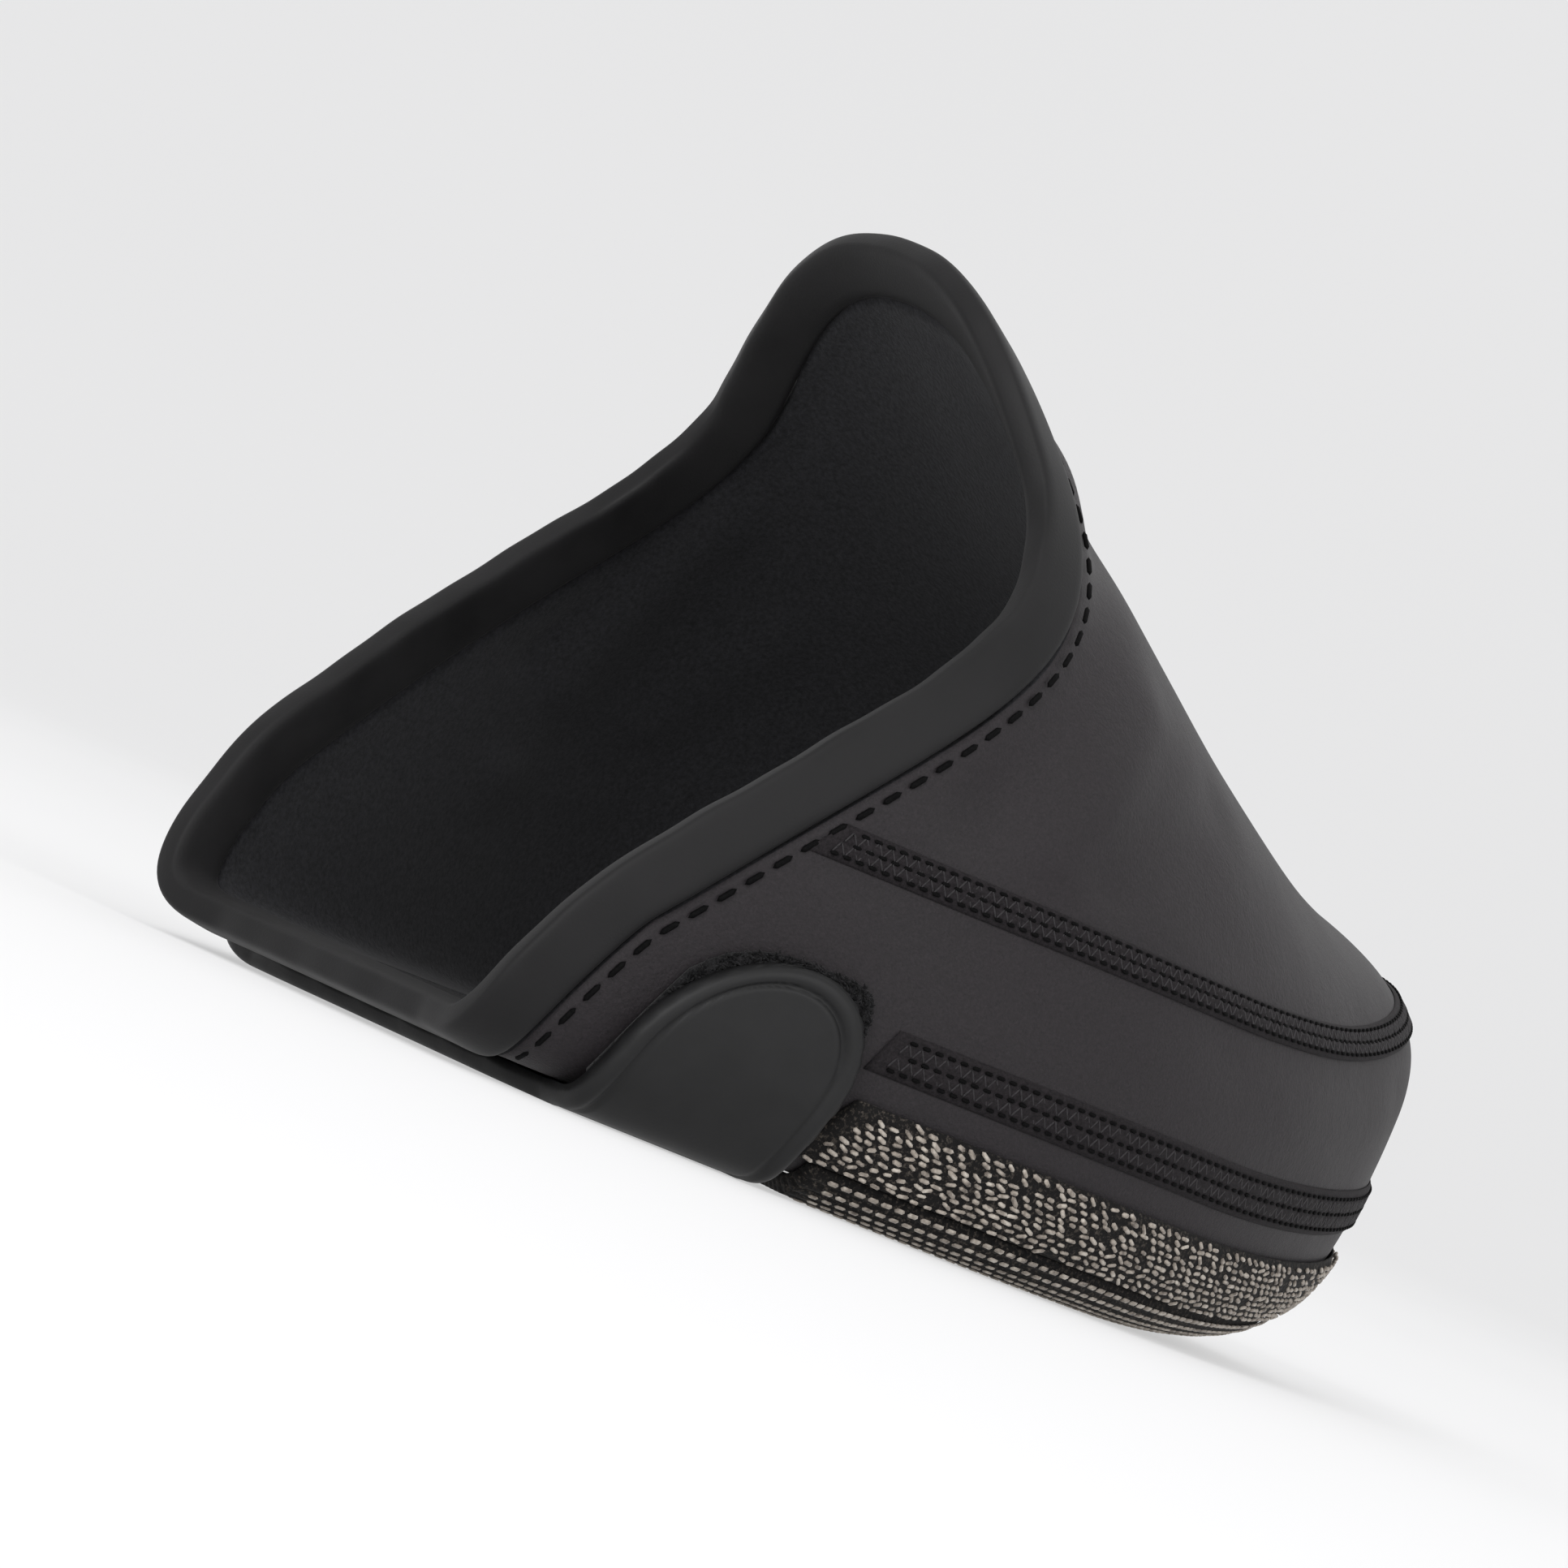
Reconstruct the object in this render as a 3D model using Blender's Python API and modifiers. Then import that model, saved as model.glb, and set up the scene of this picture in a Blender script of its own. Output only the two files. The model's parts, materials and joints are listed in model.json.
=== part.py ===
"""Right-foot cycling toe cover: a neoprene sleeve for the front half of a cycling shoe.

Frame: +X to the toe, +Y to the inner side of the foot, +Z up, in metres.
While the pieces are worked out, x is 0 at the toe tip and negative behind it.
At the end everything moves so that the origin is the middle of the bottom.

Every piece lies on one body function. Its two coordinates are an angle along
the outline, which is 0 at the toe tip, negative on the outer side of the foot
and positive on the inner side, and a turn around the girth: -2 at the inner
edge of the lip under the foot, -1 where the lip meets the bottom corner,
0 at the widest line and 1 on the ridge over the foot.
"""

import math

import bmesh
import bpy
import numpy as np

# Overall sizes
LENGTH = 0.138
BALL_WIDTH = 0.108
COLLAR_HEIGHT = 0.094
COLLAR_SETBACK = 0.098
COLLAR_WAIST_FORWARD = 0.0065
TOE_SPRING = 0.008
SPRING_START = 0.060
WALL = 0.003

# The collar's waist is this far forward of its top, and at this share of its height
COLLAR_WAIST_SETBACK = COLLAR_SETBACK - COLLAR_WAIST_FORWARD
COLLAR_WAIST = 0.84

# The bottom corner and the lip that turns under the foot
SIDE_WIDEST_RISE = 0.0185
TOE_WIDEST_RISE = 0.0285
SIDE_TUCK = 0.0085
TOE_TUCK = 0.0115
CORNER_FULLNESS = 0.22
LIP = 0.0145
FAN_DEPTH = 0.034

# Clearance between curved pieces that lie against each other
GAP = 0.0003

# Strap under the arch, with its round tab on the outer side
STRAP_THICKNESS = 0.0022
STRAP_WIDTH = 0.026
STRAP_TAB_RISE = 0.0245
STRAP_ANCHOR_RISE = 0.021
STRAP_CORNER = 0.0105
STRAP_FINE_STEP = 0.0015
STRAP_CLIMB_END = 0.0055
TAB_ROUND = 0.013
TAB_TIP = 0.25

# Fuzzy hook-and-loop patch under the tab
PATCH_THICKNESS = 0.0008
PATCH_BOTTOM = 0.0065
PATCH_TOP = 0.0270
PATCH_ROUND = 0.0060

# Woven toe guard, ribbed rim under it and the two seams above it
GUARD_THICKNESS = 0.0010
GUARD_TOP = 0.0145
RIM_TOP = 0.0060
RIM_EDGE_THICKNESS = 0.0010
RIB_COUNT = 5
RIB_DEPTH = 0.0006
GUARD_SEAM_RISE = 0.0060
GUARD_SEAM_WIDTH = 0.0054
VAMP_SEAM_RISE = 0.0435
VAMP_SEAM_WIDTH = 0.0052
SEAM_THICKNESS = 0.0008
SEAM_END_ANGLE = 0.012

# Folded hem round the collar
HEM_WIDTH = 0.0070
HEM_PROUD = 0.0009
HEM_CORNER = 0.0013

# Panel under the arch that closes the sleeve behind the opening
ARCH_FRONT_BOW = 0.004

# Where pieces end, as shares of LENGTH behind the toe tip
SPAN = {
    "rim_outer_end": 0.745,
    "rim_inner_end": 0.765,
    "guard_outer_low": 0.772,
    "guard_outer_high": 0.750,
    "seam_outer_end": 0.764,
    "patch_front": 0.785,
    "patch_rear": 0.935,
    "arch_front": 0.790,
}

# Sections of the body. Shares: of LENGTH behind the toe tip, of BALL_WIDTH out
# from the long axis, and of the ridge's rise at the collar. Crown and wall are
# the exponents of the arch over the foot: a larger crown is flatter on top,
# and a larger wall stands up straighter at the side.
SECTION_COLUMNS = ("share", "outer", "inner", "rise", "ridge", "crown", "wall")
SECTIONS = (
    (0.00, -0.093, 0.093, 0.000, 0.093, 2.25, 2.00),
    (0.02, 0.056, 0.222, 0.092, 0.090, 2.25, 2.00),
    (0.07, 0.163, 0.306, 0.189, 0.084, 2.28, 2.00),
    (0.14, 0.258, 0.370, 0.280, 0.076, 2.32, 1.98),
    (0.25, 0.357, 0.430, 0.390, 0.066, 2.34, 1.94),
    (0.39, 0.436, 0.470, 0.553, 0.054, 2.32, 1.86),
    (0.54, 0.478, 0.478, 0.720, 0.044, 2.26, 1.78),
    (0.68, 0.464, 0.430, 0.922, 0.036, 2.20, 1.74),
    (0.83, 0.412, 0.356, 1.110, 0.032, 2.20, 1.72),
    (1.00, 0.352, 0.296, 1.270, 0.030, 2.20, 1.72),
)

# The strap from its sewn inner end to the tip of the tab. Shares: of its run,
# of LENGTH behind the toe tip to its middle, and of STRAP_WIDTH for half of it.
STRAP_COLUMNS = ("along", "middle", "half")
STRAP = (
    (0.00, 0.850, 0.290),
    (0.16, 0.884, 0.370),
    (0.34, 0.899, 0.340),
    (0.52, 0.896, 0.360),
    (0.68, 0.886, 0.425),
    (0.84, 0.866, 0.440),
    (1.00, 0.828, 0.430),
)

# The seams' outer side: place across and height, as shares of width and thickness
SEAM_SECTION_COLUMNS = ("across", "height")
SEAM_SECTION = (
    (-0.50, 0.35),
    (-0.28, 1.00),
    (0.28, 1.00),
    (0.50, 0.35),
)

# Faces along and around the pieces
COLUMNS = 56
ARCH_ROWS = 14
CORNER_ROWS = 5
LIP_ROWS = 2
BAND_COLUMNS = 44
GUARD_ROWS = 4
STRAP_STEPS_ACROSS = 6
PATCH_COLUMNS = 10
PATCH_ROWS = 8

MATERIALS = {
    "neoprene": ((0.020, 0.019, 0.020, 1.0), 0.72),
    "hem": ((0.013, 0.013, 0.014, 1.0), 0.66),
    "woven_guard": ((0.150, 0.138, 0.118, 1.0), 0.80),
    "strap_rubber": ((0.024, 0.024, 0.024, 1.0), 0.52),
    "loop_pile": ((0.016, 0.016, 0.017, 1.0), 0.95),
    "seam": ((0.012, 0.011, 0.012, 1.0), 0.75),
}


def column(columns, rows, name):
    """One named column of a table, as an array."""
    place = columns.index(name)
    return np.array([row[place] for row in rows])


class Spline:
    """A natural cubic curve through knots, with its slope."""

    def __init__(self, knots, values):
        self.knots, self.values = np.asarray(knots, float), np.asarray(values, float)
        count = len(self.knots)
        steps = np.diff(self.knots)
        system, right = np.eye(count), np.zeros(count)
        for k in range(1, count - 1):
            system[k, k - 1 : k + 2] = steps[k - 1], 2 * (steps[k - 1] + steps[k]), steps[k]
            rises = np.diff(self.values[k - 1 : k + 2]) / steps[k - 1 : k + 1]
            right[k] = 6 * (rises[1] - rises[0])
        self.bends = np.linalg.solve(system, right)

    def _span(self, at):
        at = np.clip(at, self.knots[0], self.knots[-1])
        k = np.clip(np.searchsorted(self.knots, at) - 1, 0, len(self.knots) - 2)
        step = self.knots[k + 1] - self.knots[k]
        return k, step, (self.knots[k + 1] - at) / step, (at - self.knots[k]) / step

    def __call__(self, at):
        k, step, a, b = self._span(at)
        bend = (a**3 - a) * self.bends[k] + (b**3 - b) * self.bends[k + 1]
        return a * self.values[k] + b * self.values[k + 1] + bend * step**2 / 6

    def slope(self, at):
        k, step, a, b = self._span(at)
        bend = (3 * b**2 - 1) * self.bends[k + 1] - (3 * a**2 - 1) * self.bends[k]
        return (self.values[k + 1] - self.values[k]) / step + bend * step / 6


def smooth(share):
    """Smooth step from 0 to 1."""
    share = np.clip(share, 0, 1)
    return share**2 * (3 - 2 * share)


def section(name):
    return column(SECTION_COLUMNS, SECTIONS, name)


KNOTS = np.arccos(1 - section("share"))
OUTLINE = Spline(
    np.concatenate([-KNOTS[::-1], KNOTS[1:]]),
    np.concatenate([-section("outer")[::-1], section("inner")[1:]]) * BALL_WIDTH,
)
RISE = Spline(KNOTS, section("rise"))
RIDGE = Spline(KNOTS, section("ridge") * BALL_WIDTH)
CROWN = Spline(KNOTS, section("crown"))
SIDE_WALL = Spline(KNOTS, section("wall"))

# The strap lies on the ground and the body rests on it
BASE = STRAP_THICKNESS + GAP


def angle_at(x):
    """Outline angle whose station is x, without its sign."""
    return np.arccos(np.clip(1 + x / LENGTH, -1, 1))


def bottom(x):
    """Height of the underside, which rises to the toe."""
    share = np.clip((x + SPRING_START) / SPRING_START, 0, 1)
    return BASE + TOE_SPRING * share**2


def widest_rise(x):
    """How far the widest line is above the underside, which is most at the toe."""
    toe = np.clip(1 + x / SPRING_START, 0, 1) ** 2
    return SIDE_WIDEST_RISE + (TOE_WIDEST_RISE - SIDE_WIDEST_RISE) * toe


def widest(x):
    """Height of the widest line."""
    return bottom(x) + widest_rise(x)


RIDGE_RISE = (COLLAR_HEIGHT - widest(-COLLAR_SETBACK)) / RISE(angle_at(-COLLAR_SETBACK))

# The collar leans forward from the ground to its waist, and from there back to
# the ridge. The leans are shares of the angle of the collar's foot.
WAIST_LEAN = 1 - angle_at(-COLLAR_WAIST_SETBACK) / (math.pi / 2)
RIDGE_LEAN = 1 - angle_at(-COLLAR_SETBACK) / (math.pi / 2)


def arch(x, y):
    """Share of the half width at (x, y), rise of the ridge there and both exponents."""
    angle = angle_at(x)
    ridge = RIDGE(angle)
    half = np.where(y < ridge, ridge - OUTLINE(-angle), OUTLINE(angle) - ridge)
    share = np.clip(np.abs(y - ridge) / np.maximum(half, 1e-9), 0, 1)
    return share, RISE(angle) * RIDGE_RISE, CROWN(angle), SIDE_WALL(angle)


def body(angle, turn):
    """Point on the outer surface. Both arguments are arrays of one shape."""
    angle, turn = np.broadcast_arrays(np.asarray(angle, float), np.asarray(turn, float))
    edge_x, edge_y = -LENGTH * (1 - np.cos(angle)), OUTLINE(angle)
    out_x, out_y = OUTLINE.slope(angle), LENGTH * np.sin(angle)
    size = np.hypot(out_x, out_y)
    out_x, out_y = out_x / size, out_y / size

    # Over the foot: a fan of lines in plan, from the outline to the ridge
    reach = np.cos(np.clip(turn, 0, 1) * math.pi / 2)
    back = -edge_x + FAN_DEPTH * np.clip(1 + edge_x / COLLAR_SETBACK, 0, 1) ** 2
    top_x = -back + reach * (edge_x + back)
    ridge_y = RIDGE(angle_at(-back))
    top_y = ridge_y + reach * (edge_y - ridge_y)
    share, rise, crown, wall = arch(top_x, top_y)
    top_z = widest(top_x) + rise * np.maximum(1 - share**crown, 0) ** (1 / wall)

    # Under the widest line: a rounded corner and then the flat lip
    tuck = SIDE_TUCK + (TOE_TUCK - SIDE_TUCK) * np.cos(angle) ** 4
    sweep = np.clip(-turn, 0, 1) * math.pi / 2
    across = np.cos(sweep) * (1 + CORNER_FULLNESS * np.sin(sweep) ** 2)
    drop = np.sin(sweep) * (1 + CORNER_FULLNESS * np.cos(sweep) ** 2)
    inward = tuck * (1 - across) + (LIP - tuck) * np.clip(-1 - turn, 0, 1)
    low_x, low_y = edge_x - out_x * inward, edge_y - out_y * inward
    low_z = bottom(low_x) + (widest(edge_x) - bottom(edge_x)) * (1 - drop)

    over = turn > 0
    return np.stack(
        [np.where(over, top_x, low_x), np.where(over, top_y, low_y), np.where(over, top_z, low_z)],
        axis=-1,
    )


def normal(angle, turn):
    """Outward unit normal of the body."""
    angle, turn = np.broadcast_arrays(np.asarray(angle, float), np.asarray(turn, float))
    step = 1e-4
    along = body(angle + step, turn) - body(angle - step, turn)
    low, high = np.clip(turn - step, -2, 1), np.clip(turn + step, -2, 1)
    around = body(angle, high) - body(angle, low)
    found = np.cross(along, around)
    size = np.linalg.norm(found, axis=-1, keepdims=True)
    # On the ridge's front end the two directions vanish, and the surface is level there
    level = np.broadcast_to(np.array([0.0, 0.0, 1.0]), found.shape)
    return np.where(size > 1e-13, found / np.maximum(size, 1e-13), level)


def leaned(column_angle, turn):
    """Outline angle of a mesh column at a turn: the columns lean with the collar."""
    column_angle, turn = np.broadcast_arrays(column_angle, turn)
    over = np.sin(np.clip(turn, 0, 1) * math.pi / 2)
    sweep = np.clip(-turn, 0, 1) * math.pi / 2
    low = SIDE_WIDEST_RISE * (1 - np.sin(sweep))
    above = SIDE_WIDEST_RISE + (COLLAR_HEIGHT - BASE - SIDE_WIDEST_RISE) * over
    height = np.where(turn > 0, above, low)
    share = height / (COLLAR_HEIGHT - BASE)
    forward = WAIST_LEAN * smooth(share / COLLAR_WAIST)
    backward = (WAIST_LEAN - RIDGE_LEAN) * smooth((share - COLLAR_WAIST) / (1 - COLLAR_WAIST))
    return column_angle * (1 - forward + backward)


def girth_table(column_angle, samples=160):
    """Turns along one column with the length of the girth, 0 where the lip meets the corner."""
    turns = np.linspace(-2, 1, 3 * samples + 1)
    points = body(leaned(column_angle, turns), turns)
    steps = np.linalg.norm(np.diff(points, axis=0), axis=1)
    length = np.concatenate([[0], np.cumsum(steps)])
    return turns, length - length[samples]


def turn_at(column_angle, length):
    """Turn at lengths of girth along one column."""
    turns, lengths = girth_table(column_angle)
    return np.interp(length, lengths, turns)


def upright_turn_at(angle, length):
    """As turn_at, for a line at one outline angle that doesn't lean with the collar."""
    turns = np.linspace(-1, 1, 321)
    points = body(np.full_like(turns, angle), turns)
    steps = np.linalg.norm(np.diff(points, axis=0), axis=1)
    return np.interp(length, np.concatenate([[0], np.cumsum(steps)]), turns)


def on_column(column_angle, lengths, lifts):
    """Points over the body at lengths of girth, raised off it.

    They lie on one leaning column, or each on a column of its own.
    """
    if np.ndim(column_angle):
        turns = np.array([turn_at(c, length) for c, length in zip(column_angle, lengths)])
    else:
        turns = turn_at(column_angle, lengths)
    angles = leaned(column_angle, turns)
    return body(angles, turns) + normal(angles, turns) * np.asarray(lifts, float)[..., None]


def column_at(x):
    """Column angle, without its sign, that stands at station x on the bottom corner."""
    columns = np.linspace(0.02, math.pi / 2, 90)
    stations = body(leaned(columns, -1.0), -1.0)[:, 0]
    return float(np.interp(-x, -stations, columns))


def material(name):
    colour, roughness = MATERIALS[name]
    made = bpy.data.materials.get(name) or bpy.data.materials.new(name)
    made.use_nodes = True
    shader = made.node_tree.nodes["Principled BSDF"]
    shader.inputs["Base Color"].default_value = colour
    shader.inputs["Roughness"].default_value = roughness
    shader.inputs["Metallic"].default_value = 0.0
    return made


def make_object(name, made, finish):
    """Object from a bmesh, welded where its parts meet, in the part's collection."""
    bmesh.ops.remove_doubles(made, verts=made.verts, dist=2e-6)
    data = bpy.data.meshes.new(name)
    made.to_mesh(data)
    made.free()
    data.shade_smooth()
    placed = bpy.data.objects.new(name, data)
    bpy.data.collections["toe_cover"].objects.link(placed)
    data.materials.append(material(finish))
    return placed


def grid_mesh(grid):
    """A bmesh of quads over a grid of points."""
    made = bmesh.new()
    rows = [[made.verts.new(point) for point in line] for line in grid]
    for here, after in zip(rows, rows[1:]):
        for k in range(len(here) - 1):
            made.faces.new((here[k], after[k], after[k + 1], here[k + 1]))
    return made


def sheet(name, grid, thickness, side, finish):
    """A sheet through a grid of points, with its thickness outward (+1) or inward (-1)."""
    placed = make_object(name, grid_mesh(grid), finish)
    solid = placed.modifiers.new("wall", "SOLIDIFY")
    solid.thickness = thickness
    solid.offset = side
    return placed


def loft(name, loops, finish, cyclic=False):
    """A solid through closed loops of points, joined end to end or capped."""
    made = bmesh.new()
    rings = [[made.verts.new(point) for point in loop] for loop in loops]
    pairs = list(zip(rings, rings[1:])) + ([(rings[-1], rings[0])] if cyclic else [])
    for here, after in pairs:
        for k in range(len(here)):
            n = (k + 1) % len(here)
            made.faces.new((here[k], after[k], after[n], here[n]))
    if not cyclic:
        made.faces.new(rings[0])
        made.faces.new(rings[-1][::-1])
    bmesh.ops.recalc_face_normals(made, faces=made.faces)
    return make_object(name, made, finish)


def girth_turns(column_angle):
    """Turns of the upper's rows: even steps over each stretch of the girth."""
    turns, lengths = girth_table(column_angle)
    at = np.interp([-1, 0], turns, lengths)
    lip = np.linspace(lengths[0], at[0], LIP_ROWS + 1)[:-1]
    corner = np.linspace(at[0], at[1], CORNER_ROWS + 1)[:-1]
    over = np.linspace(at[1], lengths[-1], ARCH_ROWS + 1)
    return np.interp(np.concatenate([lip, corner, over]), lengths, turns)


def upper():
    """The neoprene shell: one wall from the lip, round the corner and over the foot."""
    grid = []
    for column_angle in np.linspace(-math.pi / 2, math.pi / 2, COLUMNS + 1):
        turns = girth_turns(column_angle)
        grid.append(body(leaned(column_angle, turns), turns))
    return sheet("upper", grid, WALL, -1, "neoprene")


def band_columns(outer_end):
    """Column angles from a band's outer rear end, round the toe, to its inner one."""
    outer = column_at(-SPAN[outer_end] * LENGTH)
    inner = column_at(-SPAN["rim_inner_end"] * LENGTH)
    return np.linspace(-outer, inner, BAND_COLUMNS + 1)


def toe_guard():
    """Woven panel round the toe and both sides, above the ribbed rim.

    Its outer rear edge slants forward, because it follows the round tab.
    """
    share = np.linspace(0, 1, GUARD_ROWS + 1)
    lengths = RIM_TOP + GAP + (GUARD_TOP - RIM_TOP - GAP) * share
    grid = []
    for low, high in zip(band_columns("guard_outer_low"), band_columns("guard_outer_high")):
        grid.append(on_column(low + (high - low) * share, lengths, np.full(len(share), GAP)))
    return sheet("toe_guard", grid, GUARD_THICKNESS, 1, "woven_guard")


def rib_profile(lip_start):
    """Lengths of girth and lifts of the rim's outer side: ribs with flat crests."""
    pitch = (RIM_TOP - lip_start) / RIB_COUNT
    lengths, depths = [], []
    for rib in range(RIB_COUNT):
        start = lip_start + rib * pitch
        lengths += [start + pitch * share for share in (0.14, 0.30, 0.80, 0.96)]
        depths += [1.0, 0.0, 0.0, 1.0]
    return np.array(lengths), np.array(depths)


def sole_rim():
    """Ribbed elastic rim that turns under the foot. The cover stands on its crests."""
    loops = []
    for c in band_columns("rim_outer_end"):
        lip_start = float(girth_table(c)[1][0]) + GAP
        lengths, depths = rib_profile(lip_start)
        rise = np.clip(lengths / RIM_TOP, 0, 1)
        full = STRAP_THICKNESS + (RIM_EDGE_THICKNESS - STRAP_THICKNESS) * rise
        outer = on_column(c, lengths, GAP + full - RIB_DEPTH * depths)
        inner_lengths = np.linspace(RIM_TOP, lip_start, 5)
        inner = on_column(c, inner_lengths, np.full(5, GAP))
        loops.append(np.concatenate([outer, inner]))
    return loft("sole_rim", loops, "woven_guard")


def seam_band(name, middle, width, columns):
    """A raised flat seam along a length of girth, domed across."""
    lengths = middle + width * column(SEAM_SECTION_COLUMNS, SEAM_SECTION, "across")
    lifts = GAP + SEAM_THICKNESS * column(SEAM_SECTION_COLUMNS, SEAM_SECTION, "height")
    loops = []
    for c in columns:
        outer = on_column(c, lengths, lifts)
        inner = on_column(c, lengths[::-1], np.full(len(lengths), GAP))
        loops.append(np.concatenate([outer, inner]))
    return loft(name, loops, "seam")


def guard_seam():
    """Flat seam a little above the guard's top edge."""
    middle = GUARD_TOP + GUARD_SEAM_RISE
    return seam_band("guard_seam", middle, GUARD_SEAM_WIDTH, band_columns("seam_outer_end"))


def vamp_seam():
    """Flat seam from the collar on one side, round the toe's top, to the other side."""
    # Kept clear of the hem, which starts at the last column
    end = math.pi / 2 - SEAM_END_ANGLE
    columns = np.linspace(-end, end, BAND_COLUMNS + 1)
    return seam_band("vamp_seam", VAMP_SEAM_RISE, VAMP_SEAM_WIDTH, columns)


def collar_ring():
    """Points, outward normals and rearward directions round the whole collar."""
    points, normals = [], []
    for side in (-1, 1):
        edge = side * math.pi / 2
        # The same rows as the upper, so that the two edges run side by side
        turns = girth_turns(edge)
        line, out = body(leaned(edge, turns), turns), normal(leaned(edge, turns), turns)
        points.append(line if side < 0 else line[::-1])
        normals.append(out if side < 0 else out[::-1])
    # Up the outer side, over the ridge once, down the inner side and under the arch
    ring = np.concatenate([points[0], points[1][1:]])
    out = np.concatenate([normals[0], normals[1][1:]])
    share = np.linspace(0, 1, 6)[1:-1, None]
    ring = np.concatenate([ring, ring[-1] + share * (ring[0] - ring[-1])])
    out = np.concatenate([out, out[-1] + share * (out[0] - out[-1])])
    out /= np.linalg.norm(out, axis=1, keepdims=True)
    ahead = np.roll(ring, -1, axis=0) - np.roll(ring, 1, axis=0)
    rearward = np.cross(out, ahead)
    rearward /= np.linalg.norm(rearward, axis=1, keepdims=True)
    rearward *= -np.sign(rearward[:, :1])
    return ring, out, rearward


def collar_hem():
    """Folded hem: a closed ring with a rounded section behind the upper's edge."""
    ring, out, rearward = collar_ring()
    deep = WALL + 2 * HEM_PROUD
    corner = HEM_CORNER
    section_shape = [
        (GAP, HEM_PROUD - corner * 0.4),
        (GAP + corner * 0.6, HEM_PROUD),
        (HEM_WIDTH - corner, HEM_PROUD),
        (HEM_WIDTH, HEM_PROUD - corner),
        (HEM_WIDTH, HEM_PROUD + corner - deep),
        (HEM_WIDTH - corner, HEM_PROUD - deep),
        (GAP + corner * 0.6, HEM_PROUD - deep),
        (GAP, HEM_PROUD - deep + corner * 0.4),
    ]
    loops = [
        [point + away * b + up * n for b, n in section_shape]
        for point, up, away in zip(ring, out, rearward)
    ]
    return loft("collar_hem", loops, "hem", cyclic=True)


def lip_edge(side, share):
    """Inner edge of the lip at a station, in plan."""
    point = body(side * angle_at(-share * LENGTH), -2.0)
    return float(point[0]), float(point[1])


def arch_panel():
    """Loop-faced panel under the arch, between the two lips."""
    shares = np.linspace(1.0, SPAN["arch_front"], 5)
    outer = [lip_edge(-1, share) for share in shares]
    inner = [lip_edge(1, share) for share in shares]
    outline = [(x, y + GAP) for x, y in outer]
    for share in (0.25, 0.5, 0.75):
        (x0, y0), (x1, y1) = outline[4], inner[4]
        bow = ARCH_FRONT_BOW * 4 * share * (1 - share)
        outline.append((x0 + (x1 - x0) * share - bow, y0 + (y1 - y0) * share))
    outline += [(x, y - GAP) for x, y in reversed(inner)]
    flat = bpy.data.curves.new("arch_panel", "CURVE")
    flat.dimensions = "2D"
    flat.fill_mode = "BOTH"
    flat.extrude = WALL / 2
    spline = flat.splines.new("POLY")
    spline.points.add(len(outline) - 1)
    for point, (x, y) in zip(spline.points, outline):
        point.co = (x, y, 0.0, 1.0)
    spline.use_cyclic_u = True
    guide = bpy.data.objects.new("arch_panel_outline", flat)
    guide.location.z = BASE + WALL / 2
    bpy.context.scene.collection.objects.link(guide)
    bpy.context.view_layer.update()
    graph = bpy.context.evaluated_depsgraph_get()
    data = bpy.data.meshes.new_from_object(guide.evaluated_get(graph))
    made = bmesh.new()
    made.from_mesh(data)
    made.transform(guide.matrix_world)
    bpy.data.objects.remove(guide)
    bpy.data.meshes.remove(data)
    return make_object("arch_panel", made, "loop_pile")


def strap_rows():
    """Rows from the sewn inner end to the tab: a side of the foot, or 0 under it, and a place.

    The place is a height up the side from the bottom corner, or a share of the
    way under the foot. The corner is tight, so its rows are close together.
    """
    corner = np.arange(0, STRAP_CORNER, STRAP_FINE_STEP)
    inner = np.concatenate([corner, np.linspace(STRAP_CORNER, STRAP_ANCHOR_RISE, 4)])
    # The tab's end is a half round, drawn with steps that close up to its tip
    turn = np.linspace(0, math.pi / 2, 8)
    outer = np.concatenate([corner, STRAP_TAB_RISE - TAB_ROUND * (1 - np.sin(turn))])
    rows = [(1, height) for height in inner[::-1]]
    rows += [(0, share) for share in np.linspace(0, 1, 9)[1:-1]]
    return rows + [(-1, height) for height in outer]


def under_strap(x, side, place):
    """Point of the strap's inner face at a station and a row."""
    angle = angle_at(x)
    if side == 0:
        outer, inner = body(-angle, -1.0), body(angle, -1.0)
        return inner + (outer - inner) * place - np.array([0, 0, GAP])
    # On the outer side the strap climbs on to the patch, once it is off the ground
    share = (place - STRAP_FINE_STEP) / (STRAP_CLIMB_END - STRAP_FINE_STEP)
    climb = (PATCH_THICKNESS + GAP) * smooth(share) if side < 0 else 0.0
    turn = upright_turn_at(side * angle, place)
    return body(side * angle, turn) + normal(side * angle, turn) * (GAP + climb)


def strap():
    """Smooth strap under the arch: sewn on the inner side, with a round tab on the outer."""
    table = {name: column(STRAP_COLUMNS, STRAP, name) for name in STRAP_COLUMNS}
    middle = Spline(table["along"], -table["middle"] * LENGTH)
    half = Spline(table["along"], table["half"] * STRAP_WIDTH)
    station = float(middle(0.5))
    ends = body(angle_at(station) * np.array([-1, 1]), -1.0)
    under = float(np.linalg.norm(ends[1] - ends[0]))
    total = STRAP_ANCHOR_RISE + under + STRAP_TAB_RISE
    grid = []
    for side, place in strap_rows():
        before = {1: STRAP_ANCHOR_RISE, 0: STRAP_ANCHOR_RISE, -1: STRAP_ANCHOR_RISE + under}
        run = before[side] + {1: -place, 0: place * under, -1: place}[side]
        past = np.clip(1 - (total - run) / TAB_ROUND, 0, 1)
        width = float(half(run / total)) * max(math.sqrt(1 - past**2), TAB_TIP)
        places = np.linspace(1, -1, STRAP_STEPS_ACROSS + 1) * width + float(middle(run / total))
        grid.append([under_strap(x, side, place) for x in places])
    return sheet("strap", grid, STRAP_THICKNESS, 1, "strap_rubber")


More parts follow.
